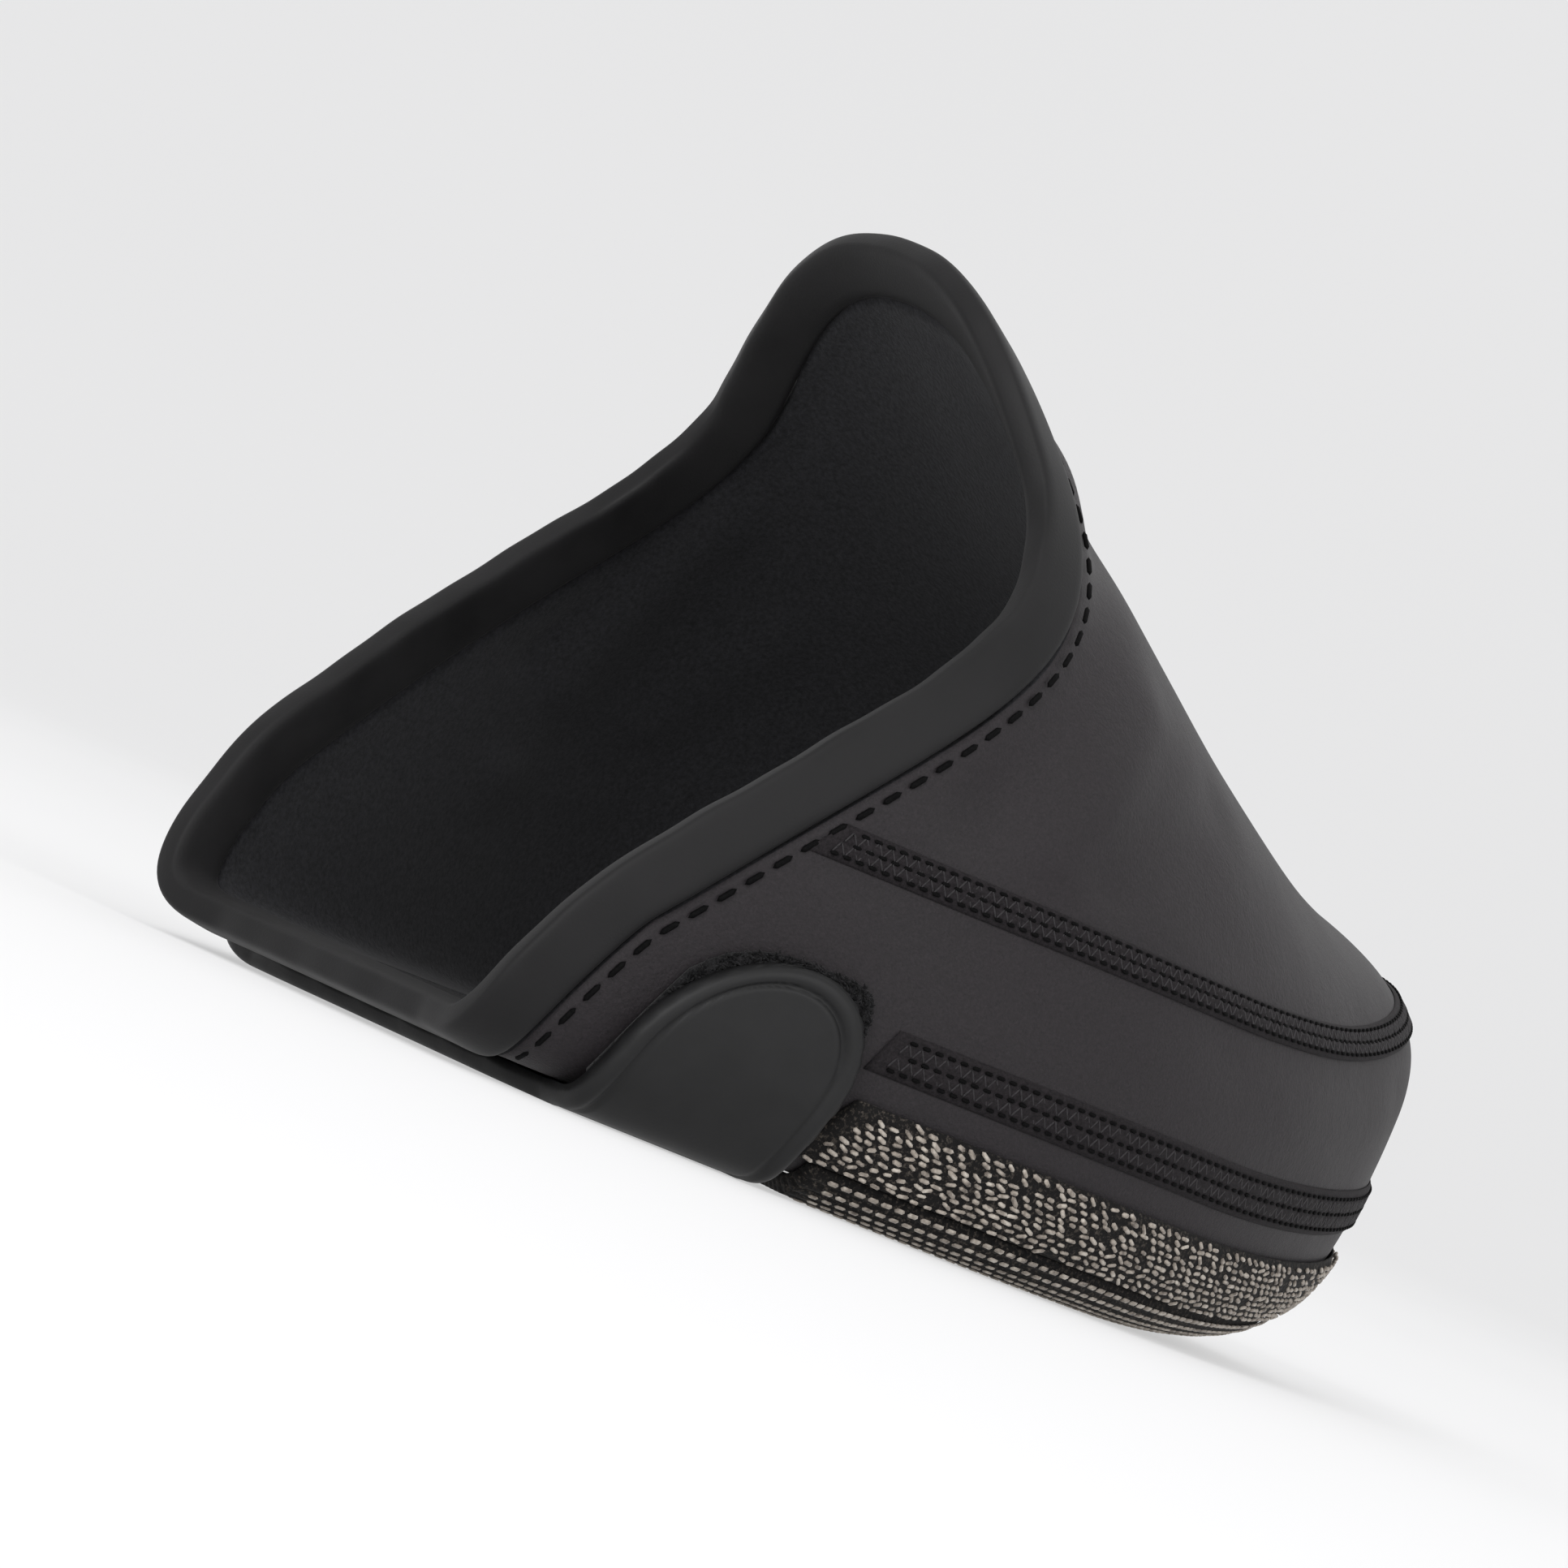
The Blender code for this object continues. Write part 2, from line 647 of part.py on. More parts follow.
def loop_patch():
    """Pile patch on the outer side, under the tab and a little larger."""
    rear = column_at(-SPAN["patch_rear"] * LENGTH)
    front = column_at(-SPAN["patch_front"] * LENGTH)
    grid = []
    for share in np.linspace(0, 1, PATCH_COLUMNS + 1):
        # The top edge is round
        top = PATCH_TOP - PATCH_ROUND * abs(2 * share - 1) ** 4
        lengths = np.linspace(PATCH_BOTTOM, top, PATCH_ROWS + 1)
        lifts = np.full(len(lengths), GAP)
        grid.append(on_column(-rear + (rear - front) * share, lengths, lifts))
    return sheet("loop_patch", grid, PATCH_THICKNESS, 1, "loop_pile")


def centre_on_ground(placed):
    """Moves the pieces so that the origin is the middle of the bottom."""
    bpy.context.view_layer.update()
    graph = bpy.context.evaluated_depsgraph_get()
    corners = []
    for one in placed:
        found = one.evaluated_get(graph).to_mesh()
        corners += [vertex.co.copy() for vertex in found.vertices]
        one.evaluated_get(graph).to_mesh_clear()
    points = np.array(corners)
    low, high = points.min(axis=0), points.max(axis=0)
    for one in placed:
        one.location = (-(low[0] + high[0]) / 2, -(low[1] + high[1]) / 2, -low[2])


def main():
    for old in list(bpy.data.objects):
        bpy.data.objects.remove(old)
    group = bpy.data.collections.new("toe_cover")
    bpy.context.scene.collection.children.link(group)
    placed = [
        upper(),
        toe_guard(),
        sole_rim(),
        guard_seam(),
        vamp_seam(),
        collar_hem(),
        arch_panel(),
        strap(),
        loop_patch(),
    ]
    centre_on_ground(placed)


main()
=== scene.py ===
"""Looks of a right-foot cycling toe cover: a black neoprene sleeve for the front of a shoe.

The pieces lie on the same body function as the part's solids. Its two
coordinates are an angle along the outline, which is 0 at the toe tip, negative
on the outer side of the foot and positive on the inner side, and a turn around
the girth: -2 at the inner edge of the lip under the foot, -1 where the lip
meets the bottom corner, 0 at the widest line and 1 on the ridge over the foot.
While the pieces are worked out, x is 0 at the toe tip and negative behind it.
"""

import json
import math

import bmesh
import bpy
import numpy as np
from mathutils import Matrix, Vector

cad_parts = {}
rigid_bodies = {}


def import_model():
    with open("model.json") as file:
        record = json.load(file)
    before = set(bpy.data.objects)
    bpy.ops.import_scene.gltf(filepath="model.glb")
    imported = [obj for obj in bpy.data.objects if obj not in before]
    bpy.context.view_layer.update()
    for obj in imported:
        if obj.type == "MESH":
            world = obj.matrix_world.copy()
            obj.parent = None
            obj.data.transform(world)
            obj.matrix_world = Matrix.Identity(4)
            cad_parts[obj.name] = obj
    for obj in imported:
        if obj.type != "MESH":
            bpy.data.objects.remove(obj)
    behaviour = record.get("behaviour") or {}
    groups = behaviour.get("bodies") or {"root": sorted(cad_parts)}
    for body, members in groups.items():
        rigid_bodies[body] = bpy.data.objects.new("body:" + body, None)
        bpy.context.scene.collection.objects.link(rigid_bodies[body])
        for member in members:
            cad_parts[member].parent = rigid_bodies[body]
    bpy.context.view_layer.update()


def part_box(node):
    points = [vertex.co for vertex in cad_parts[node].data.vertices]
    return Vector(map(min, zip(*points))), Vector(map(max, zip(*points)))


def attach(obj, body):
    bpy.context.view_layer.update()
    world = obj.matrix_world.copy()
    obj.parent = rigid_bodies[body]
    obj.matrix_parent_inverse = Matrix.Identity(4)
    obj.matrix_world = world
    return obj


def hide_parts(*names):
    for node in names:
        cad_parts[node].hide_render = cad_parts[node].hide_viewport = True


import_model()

MM = 0.001
SIDE_END = math.pi / 2

# Sizes that the part has too, in metres
LENGTH = 0.138
BALL_WIDTH = 0.108
COLLAR_HEIGHT = 0.094
COLLAR_SETBACK = 0.098
COLLAR_WAIST_FORWARD = 0.0065
COLLAR_WAIST_SETBACK = COLLAR_SETBACK - COLLAR_WAIST_FORWARD
COLLAR_WAIST = 0.84
TOE_SPRING = 0.008
SPRING_START = 0.060
WALL = 0.003
SIDE_WIDEST_RISE = 0.0185
TOE_WIDEST_RISE = 0.0285
SIDE_TUCK = 0.0085
TOE_TUCK = 0.0115
CORNER_FULLNESS = 0.22
LIP = 0.0145
FAN_DEPTH = 0.034
GAP = 0.0003
STRAP_THICKNESS = 0.0022
STRAP_WIDTH = 0.026
STRAP_TAB_RISE = 0.0245
STRAP_ANCHOR_RISE = 0.021
TAB_ROUND = 0.013
PATCH_THICKNESS = 0.0008
PATCH_BOTTOM = 0.0065
PATCH_TOP = 0.0270
PATCH_ROUND = 0.0060
GUARD_THICKNESS = 0.0010
GUARD_TOP = 0.0145
RIM_TOP = 0.0060
GUARD_SEAM_RISE = 0.0060
GUARD_SEAM_WIDTH = 0.0054
VAMP_SEAM_RISE = 0.0435
VAMP_SEAM_WIDTH = 0.0052
HEM_WIDTH = 0.0070
HEM_PROUD = 0.0009
ARCH_FRONT_BOW = 0.004
SPAN = {
    "rim_outer_end": 0.745,
    "rim_inner_end": 0.765,
    "guard_outer_low": 0.772,
    "guard_outer_high": 0.750,
    "seam_outer_end": 0.764,
    "patch_front": 0.785,
    "patch_rear": 0.935,
    "arch_front": 0.790,
}
SECTION_COLUMNS = ("share", "outer", "inner", "rise", "ridge", "crown", "wall")
SECTIONS = (
    (0.00, -0.093, 0.093, 0.000, 0.093, 2.25, 2.00),
    (0.02, 0.056, 0.222, 0.092, 0.090, 2.25, 2.00),
    (0.07, 0.163, 0.306, 0.189, 0.084, 2.28, 2.00),
    (0.14, 0.258, 0.370, 0.280, 0.076, 2.32, 1.98),
    (0.25, 0.357, 0.430, 0.390, 0.066, 2.34, 1.94),
    (0.39, 0.436, 0.470, 0.553, 0.054, 2.32, 1.86),
    (0.54, 0.478, 0.478, 0.720, 0.044, 2.26, 1.78),
    (0.68, 0.464, 0.430, 0.922, 0.036, 2.20, 1.74),
    (0.83, 0.412, 0.356, 1.110, 0.032, 2.20, 1.72),
    (1.00, 0.352, 0.296, 1.270, 0.030, 2.20, 1.72),
)
STRAP_COLUMNS = ("along", "middle", "half")
STRAP = (
    (0.00, 0.850, 0.290),
    (0.16, 0.884, 0.370),
    (0.34, 0.899, 0.340),
    (0.52, 0.896, 0.360),
    (0.68, 0.886, 0.425),
    (0.84, 0.866, 0.440),
    (1.00, 0.828, 0.430),
)

# Photograph's view: azimuth and elevation towards the object and the camera's
# roll, in degrees, the distance in metres and the share of the frame it fills
VIEW_AZIMUTH = -37.0
VIEW_ELEVATION = -1.0
VIEW_ROLL = 22.5
VIEW_DISTANCE = 0.9
VIEW_FILL = 0.80
FRAMED = ("sleeve", "collar_hem_roll", "strap_band", "sole_rim_cloth", "toe_guard_cloth")

# Soft troughs and ridges of the sleeve, seen from the side, in millimetres
# behind the toe tip and above the ground: both ends, the side of the foot,
# how far the middle sinks in (negative for a ridge) and the half width.
CREASE_COLUMNS = ("x0", "z0", "x1", "z1", "side", "depth", "width")
CREASES = (
    (-101, 44, -84, 74, -1, 1.2, 4.2),
    (-106, 52, -92, 80, -1, -0.8, 3.8),
    (-92, 42, -80, 60, -1, -0.7, 3.8),
    (-84, 42, -66, 54, -1, 0.8, 4.2),
    (-100, 30, -88, 66, 1, 0.8, 4.5),
    (-104, 44, -94, 78, 1, -0.5, 4.0),
    (-84, 34, -72, 56, 1, 0.5, 4.5),
    (-62, 33, -20, 36, -1, 0.35, 3.5),
    (-60, 34, -22, 37, 1, 0.35, 3.5),
)


def column(columns, rows, name):
    """One named column of a table, as an array."""
    place = columns.index(name)
    return np.array([row[place] for row in rows])


class Spline:
    """A natural cubic curve through knots, with its slope."""

    def __init__(self, knots, values):
        self.knots, self.values = np.asarray(knots, float), np.asarray(values, float)
        count = len(self.knots)
        steps = np.diff(self.knots)
        system, right = np.eye(count), np.zeros(count)
        for k in range(1, count - 1):
            system[k, k - 1 : k + 2] = steps[k - 1], 2 * (steps[k - 1] + steps[k]), steps[k]
            rises = np.diff(self.values[k - 1 : k + 2]) / steps[k - 1 : k + 1]
            right[k] = 6 * (rises[1] - rises[0])
        self.bends = np.linalg.solve(system, right)

    def _span(self, at):
        at = np.clip(at, self.knots[0], self.knots[-1])
        k = np.clip(np.searchsorted(self.knots, at) - 1, 0, len(self.knots) - 2)
        step = self.knots[k + 1] - self.knots[k]
        return k, step, (self.knots[k + 1] - at) / step, (at - self.knots[k]) / step

    def __call__(self, at):
        k, step, a, b = self._span(at)
        bend = (a**3 - a) * self.bends[k] + (b**3 - b) * self.bends[k + 1]
        return a * self.values[k] + b * self.values[k + 1] + bend * step**2 / 6

    def slope(self, at):
        k, step, a, b = self._span(at)
        bend = (3 * b**2 - 1) * self.bends[k + 1] - (3 * a**2 - 1) * self.bends[k]
        return (self.values[k + 1] - self.values[k]) / step + bend * step / 6


def smooth(share):
    """Smooth step from 0 to 1."""
    share = np.clip(share, 0, 1)
    return share**2 * (3 - 2 * share)


def section(name):
    """One named column of the sections."""
    return column(SECTION_COLUMNS, SECTIONS, name)


KNOTS = np.arccos(1 - section("share"))
OUTLINE = Spline(
    np.concatenate([-KNOTS[::-1], KNOTS[1:]]),
    np.concatenate([-section("outer")[::-1], section("inner")[1:]]) * BALL_WIDTH,
)
RISE = Spline(KNOTS, section("rise"))
RIDGE = Spline(KNOTS, section("ridge") * BALL_WIDTH)
CROWN = Spline(KNOTS, section("crown"))
SIDE_WALL = Spline(KNOTS, section("wall"))
BASE = STRAP_THICKNESS + GAP


def angle_at(x):
    """Outline angle whose station is x, without its sign."""
    return np.arccos(np.clip(1 + x / LENGTH, -1, 1))


def bottom(x):
    """Height of the underside, which rises to the toe."""
    share = np.clip((x + SPRING_START) / SPRING_START, 0, 1)
    return BASE + TOE_SPRING * share**2


def widest(x):
    """Height of the widest line, which rises most at the toe."""
    toe = np.clip(1 + x / SPRING_START, 0, 1) ** 2
    return bottom(x) + SIDE_WIDEST_RISE + (TOE_WIDEST_RISE - SIDE_WIDEST_RISE) * toe


RIDGE_RISE = (COLLAR_HEIGHT - widest(-COLLAR_SETBACK)) / RISE(angle_at(-COLLAR_SETBACK))
WAIST_LEAN = 1 - angle_at(-COLLAR_WAIST_SETBACK) / SIDE_END
RIDGE_LEAN = 1 - angle_at(-COLLAR_SETBACK) / SIDE_END


def arch(x, y):
    """Share of the half width at (x, y), rise of the ridge there and both exponents."""
    angle = angle_at(x)
    ridge = RIDGE(angle)
    half = np.where(y < ridge, ridge - OUTLINE(-angle), OUTLINE(angle) - ridge)
    share = np.clip(np.abs(y - ridge) / np.maximum(half, 1e-9), 0, 1)
    return share, RISE(angle) * RIDGE_RISE, CROWN(angle), SIDE_WALL(angle)


def body(angle, turn):
    """Point on the outer surface. Both arguments are arrays of one shape."""
    angle, turn = np.broadcast_arrays(np.asarray(angle, float), np.asarray(turn, float))
    edge_x, edge_y = -LENGTH * (1 - np.cos(angle)), OUTLINE(angle)
    out_x, out_y = OUTLINE.slope(angle), LENGTH * np.sin(angle)
    size = np.hypot(out_x, out_y)
    out_x, out_y = out_x / size, out_y / size

    # Over the foot: a fan of lines in plan, from the outline to the ridge
    reach = np.cos(np.clip(turn, 0, 1) * SIDE_END)
    back = -edge_x + FAN_DEPTH * np.clip(1 + edge_x / COLLAR_SETBACK, 0, 1) ** 2
    top_x = -back + reach * (edge_x + back)
    ridge_y = RIDGE(angle_at(-back))
    top_y = ridge_y + reach * (edge_y - ridge_y)
    share, rise, crown, wall = arch(top_x, top_y)
    top_z = widest(top_x) + rise * np.maximum(1 - share**crown, 0) ** (1 / wall)

    # Under the widest line: a rounded corner and then the flat lip
    tuck = SIDE_TUCK + (TOE_TUCK - SIDE_TUCK) * np.cos(angle) ** 4
    sweep = np.clip(-turn, 0, 1) * SIDE_END
    across = np.cos(sweep) * (1 + CORNER_FULLNESS * np.sin(sweep) ** 2)
    drop = np.sin(sweep) * (1 + CORNER_FULLNESS * np.cos(sweep) ** 2)
    inward = tuck * (1 - across) + (LIP - tuck) * np.clip(-1 - turn, 0, 1)
    low_x, low_y = edge_x - out_x * inward, edge_y - out_y * inward
    low_z = bottom(low_x) + (widest(edge_x) - bottom(edge_x)) * (1 - drop)

    over = turn > 0
    return np.stack(
        [np.where(over, top_x, low_x), np.where(over, top_y, low_y), np.where(over, top_z, low_z)],
        axis=-1,
    )


def unit(vectors):
    """Vectors at length one."""
    return vectors / np.maximum(np.linalg.norm(vectors, axis=-1, keepdims=True), 1e-15)


def run_along(points):
    """Distances from the first of a line of points to each of them."""
    return np.concatenate([[0], np.cumsum(np.linalg.norm(np.diff(points, axis=0), axis=1))])


def picked(at, run, values):
    """Triples of values at distances along a line."""
    return np.stack([np.interp(at, run, values[:, n]) for n in range(3)], axis=-1)


def normal(angle, turn):
    """Outward unit normal of the body."""
    angle, turn = np.broadcast_arrays(np.asarray(angle, float), np.asarray(turn, float))
    step = 1e-4
    along = body(angle + step, turn) - body(angle - step, turn)
    low, high = np.clip(turn - step, -2, 1), np.clip(turn + step, -2, 1)
    found = np.cross(along, body(angle, high) - body(angle, low))
    size = np.linalg.norm(found, axis=-1, keepdims=True)
    # On the ridge's front end the two directions vanish, and the surface is level there
    level = np.broadcast_to(np.array([0.0, 0.0, 1.0]), found.shape)
    return np.where(size > 1e-13, found / np.maximum(size, 1e-13), level)


def leaned(column_angle, turn):
    """Outline angle of a column at a turn: the columns lean with the collar."""
    column_angle, turn = np.broadcast_arrays(column_angle, turn)
    over = np.sin(np.clip(turn, 0, 1) * SIDE_END)
    low = SIDE_WIDEST_RISE * (1 - np.sin(np.clip(-turn, 0, 1) * SIDE_END))
    above = SIDE_WIDEST_RISE + (COLLAR_HEIGHT - BASE - SIDE_WIDEST_RISE) * over
    share = np.where(turn > 0, above, low) / (COLLAR_HEIGHT - BASE)
    forward = WAIST_LEAN * smooth(share / COLLAR_WAIST)
    backward = (WAIST_LEAN - RIDGE_LEAN) * smooth((share - COLLAR_WAIST) / (1 - COLLAR_WAIST))
    return column_angle * (1 - forward + backward)


def girth_table(column_angle, samples=160):
    """Turns along one column with the length of the girth, 0 where the lip meets the corner."""
    turns = np.linspace(-2, 1, 3 * samples + 1)
    length = run_along(body(leaned(column_angle, turns), turns))
    return turns, length - length[samples]


# Turn of any column at any length of girth, from a fine table
TABLE_COLUMNS = np.linspace(-SIDE_END, SIDE_END, 481)
TABLE_LENGTHS = np.linspace(-LIP, 0.060, 746)
TABLE = np.array(
    [np.interp(TABLE_LENGTHS, *girth_table(c)[::-1]) for c in TABLE_COLUMNS]
)


def turn_at(columns, lengths):
    """Turns at columns and lengths of girth, between the table's values."""
    j = (columns - TABLE_COLUMNS[0]) / (TABLE_COLUMNS[1] - TABLE_COLUMNS[0])
    k = (lengths - TABLE_LENGTHS[0]) / (TABLE_LENGTHS[1] - TABLE_LENGTHS[0])
    j = np.clip(j, 0, len(TABLE_COLUMNS) - 1.001)
    k = np.clip(k, 0, len(TABLE_LENGTHS) - 1.001)
    j0, k0 = j.astype(int), k.astype(int)
    a, b = j - j0, k - k0
    here = TABLE[j0, k0] * (1 - b) + TABLE[j0, k0 + 1] * b
    after = TABLE[j0 + 1, k0] * (1 - b) + TABLE[j0 + 1, k0 + 1] * b
    return here * (1 - a) + after * a


def on_surface(columns, lengths, lifts=0.0):
    """Points over the body at columns and lengths of girth, raised off it."""
    columns, lengths, lifts = np.broadcast_arrays(
        np.asarray(columns, float), np.asarray(lengths, float), np.asarray(lifts, float)
    )
    turns = turn_at(columns, lengths)
    angles = leaned(columns, turns)
    return body(angles, turns) + normal(angles, turns) * lifts[..., None]


def axes_at(columns, lengths, lifts=0.0):
    """Places on the body with unit directions along, across and out of it."""
    here = on_surface(columns, lengths, lifts)
    along = unit(on_surface(columns + 1e-3, lengths) - on_surface(columns - 1e-3, lengths))
    across = on_surface(columns, lengths + 2e-4) - on_surface(columns, lengths - 2e-4)
    out = unit(np.cross(along, across))
    return here, along, np.cross(out, along), out


def column_at(x):
    """Column angle, without its sign, that stands at station x on the bottom corner."""
    columns = np.linspace(0.02, SIDE_END, 90)
    stations = body(leaned(columns, -1.0), -1.0)[:, 0]
    return float(np.interp(-x, -stations, columns))


def band_limits(outer_end):
    """Column angles of a band's outer and inner rear ends."""
    outer = column_at(-SPAN[outer_end] * LENGTH)
    return -outer, column_at(-SPAN["rim_inner_end"] * LENGTH)


def guard_start(lengths):
    """Column angle of the guard's outer rear edge, which slants along the round tab."""
    low, high = band_limits("guard_outer_low")[0], band_limits("guard_outer_high")[0]
    return low + (high - low) * (lengths - RIM_TOP - GAP) / (GUARD_TOP - RIM_TOP - GAP)


def find_shift():
    """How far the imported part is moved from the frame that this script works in."""
    low, high = (np.array(corner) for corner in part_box("upper"))
    angles = np.linspace(-SIDE_END, SIDE_END, 721)
    edge = body(angles, 0.0)
    middle = (edge[:, 1].min() + edge[:, 1].max()) / 2
    return np.array([high[0] - edge[:, 0].max(), (low[1] + high[1]) / 2 - middle, low[2] - BASE])


SHIFT = find_shift()


# Meshes


def linked(name, data):
    """A new object in the scene."""
    placed = bpy.data.objects.new(name, data)
    bpy.context.scene.collection.objects.link(placed)
    return placed


def add_mesh(name, points, faces, finish, node=None):
    """A smooth mesh object in the part's frame, riding on the root body."""
    data = bpy.data.meshes.new(name)
    data.from_pydata((np.asarray(points) + SHIFT).tolist(), [], faces)
    data.validate()
    data.shade_smooth()
    data.materials.append(finish)
    placed = linked(name, data)
    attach(placed, "root")
    if node:
        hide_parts(node)
    return placed


def quads(rows, columns, start=0):
    """Faces of a grid of points, row after row."""
    here = start + np.arange(rows - 1)[:, None] * columns + np.arange(columns - 1)
    faces = np.stack([here, here + columns, here + columns + 1, here + 1], axis=-1)
    return faces.reshape(-1, 4)


def worked(placed, change):
    """Changes an object's mesh with a bmesh function and shades it smooth."""
    made = bmesh.new()
    made.from_mesh(placed.data)
    change(made)
    made.to_mesh(placed.data)
    made.free()
    placed.data.shade_smooth()


def turned_out(placed):
    """Makes all faces of a closed mesh look outwards."""
    worked(placed, lambda made: bmesh.ops.recalc_face_normals(made, faces=made.faces))


def add_slab(name, lower, upper, finish, node):
    """A closed solid between two grids of points, in place of a CAD node."""
    rows, columns = upper.shape[:2]
    count = rows * columns
    index = np.arange(count).reshape(rows, columns)
    border = np.concatenate([index[0], index[1:, -1], index[-1, -2::-1], index[-2:0:-1, 0]])
    after = np.roll(border, -1)
    sides = np.stack([border, after, after + count, border + count], axis=-1)
    faces = np.concatenate([quads(rows, columns), quads(rows, columns, count)[:, ::-1], sides])
    points = np.concatenate([upper.reshape(-1, 3), lower.reshape(-1, 3)])
    turned_out(add_mesh(name, points, faces.tolist(), finish, node=node))


BEAD_SIDES = 6
BEAD_RING_AT = 0.62
BEAD_RING_RADIUS = 0.82


def bead_shape():
    """Points and faces of a bead from -1 to 1 along x, with two rings between its tips."""
    around = np.arange(BEAD_SIDES) / BEAD_SIDES * 2 * math.pi
    points = [(-1.0, 0.0, 0.0)]
    for x in (-BEAD_RING_AT, BEAD_RING_AT):
        points += [
            (x, BEAD_RING_RADIUS * math.cos(a), BEAD_RING_RADIUS * math.sin(a)) for a in around
        ]
    points.append((1.0, 0.0, 0.0))
    faces = []
    for k in range(BEAD_SIDES):
        a, b = 1 + k, 1 + (k + 1) % BEAD_SIDES
        c, d = a + BEAD_SIDES, b + BEAD_SIDES
        faces += [(0, b, a), (a, b, d), (a, d, c), (c, d, len(points) - 1)]
    return np.array(points), np.array(faces)


def add_beads(name, places, sizes, finish):
    """Many beads as one mesh. Sizes are half length, width and height in millimetres."""
    here, along, across, out = places
    shape, faces = bead_shape()
    sizes = np.broadcast_to(np.asarray(sizes, float) * MM, here.shape)
    axes = (along, across, out)
    points = here[:, None, :] + sum(
        shape[None, :, n, None] * sizes[:, None, n, None] * axes[n][:, None, :] for n in range(3)
    )
    starts = np.arange(len(here)) * len(shape)
    all_faces = (faces[None] + starts[:, None, None]).reshape(-1, 3)
    add_mesh(name, points.reshape(-1, 3), all_faces.tolist(), finish)


def swung(places, degrees):
    """The same places with their directions turned about the outward one."""
    here, along, across, out = places
    turn = np.radians(np.asarray(degrees, float)) * np.ones(len(here))
    c, s = np.cos(turn)[:, None], np.sin(turn)[:, None]
    return here, along * c + across * s, across * c - along * s, out


def spaced(length, start, end, pitch, phase=0.0):
    """Columns at even steps along the surface, on a line at one length of girth."""
    fine = np.linspace(start, end, 900)
    run = run_along(on_surface(fine, length))
    count = max(int((run[-1] - 0.6 * pitch) / pitch), 1)
    slack = run[-1] - count * pitch
    at = slack / 2 + (np.arange(count) + 0.5 + phase * 0.5) * pitch
    return np.interp(at, run, fine)


# Materials. Coordinates are the object's own, in millimetres.


SHEEN_ROUGHNESS = 0.45


class Shading:
    """A material under construction: its nodes and its Principled shader."""

    def __init__(self, name, roughness, specular, sheen=0.0):
        self.material = bpy.data.materials.new(name)
        self.material.use_nodes = True
        self.tree = self.material.node_tree
        self.shader = self.tree.nodes["Principled BSDF"]
        self.look("Roughness", roughness)
        self.look("Specular IOR Level", specular)
        self.look("Sheen Weight", sheen)
        self.look("Sheen Roughness", SHEEN_ROUGHNESS)
        own = self.add("ShaderNodeTexCoord", {}).outputs["Object"]
        scale = (1 / MM, 1 / MM, 1 / MM)
        mapping = self.add("ShaderNodeMapping", {"Vector": own, "Scale": scale})
        self.place = mapping.outputs["Vector"]

    def give(self, node, name, value):
        """Sets a node's input, or links it when the value is another node's output."""
        if isinstance(value, bpy.types.NodeSocket):
            self.tree.links.new(value, node.inputs[name])
        else:
            node.inputs[name].default_value = value

    def look(self, name, value):
        """Sets or links an input of the Principled shader."""
        self.give(self.shader, name, value)

    def add(self, kind, inputs, **settings):
        """A new node with its settings and inputs."""
        node = self.tree.nodes.new(kind)
        for name, value in settings.items():
            setattr(node, name, value)
        for name, value in inputs.items():
            self.give(node, name, value)
        return node

    def noise(self, size, detail=3.0, rough=0.55):
        """Noise whose features are about this many millimetres."""
        inputs = {"Scale": 1 / size, "Detail": detail, "Roughness": rough, "Vector": self.place}
        return self.add("ShaderNodeTexNoise", inputs).outputs["Fac"]

    def scaled(self, value, low, high, to_low, to_high):
        """Value mapped from one range to another."""
        inputs = {"From Min": low, "From Max": high, "To Min": to_low, "To Max": to_high}
        return self.add("ShaderNodeMapRange", {"Value": value, **inputs}).outputs["Result"]

    def ramp(self, value, stops):
        """Colour of a value between stops."""
        node = self.add("ShaderNodeValToRGB", {"Fac": value})
        elements = node.color_ramp.elements
        while len(elements) < len(stops):
            elements.new(0.5)
        for element, (place, colour) in zip(elements, stops):
            element.position = place
            element.color = (*colour, 1.0)
        return node.outputs["Color"]

    def mix(self, factor, first, second):
        """Mix of two colours."""
        inputs = {0: factor, 6: first, 7: second}
        return self.add("ShaderNodeMix", inputs, data_type="RGBA").outputs[2]

    def bump(self, value, height, strength=1.0, under=None):
        """Relief of a height in millimetres."""
        inputs = {"Strength": strength, "Distance": height * MM, "Height": value}
        if under is not None:
            inputs["Normal"] = under
        raised = self.add("ShaderNodeBump", inputs).outputs["Normal"]
        self.look("Normal", raised)
        return raised


def neoprene():
    """Fine jersey over foam: near black with a warm cast, matte, with a soft grain."""
    made = Shading("neoprene", 0.66, specular=0.30, sheen=0.05)
    patchy = made.noise(17.0, 2.0)
    grain = made.noise(0.32, 4.0, 0.7)
    broad = made.ramp(patchy, ((0.3, (0.0078, 0.0058, 0.0071)), (0.7, (0.0125, 0.0095, 0.0115))))
    fine = made.ramp(grain, ((0.32, (0.0025, 0.0018, 0.0023)), (0.68, (0.0215, 0.0168, 0.0200))))
    share = made.scaled(made.noise(0.9, 3.0, 0.7), 0.3, 0.7, 0.25, 0.75)
    made.look("Base Color", made.mix(share, broad, fine))
    made.look("Roughness", made.scaled(patchy, 0.25, 0.75, 0.56, 0.68))
    soft = made.bump(made.noise(1.3, 3.0, 0.6), 0.10, 0.8)
    made.bump(grain, 0.09, 1.0, soft)
    return made.material


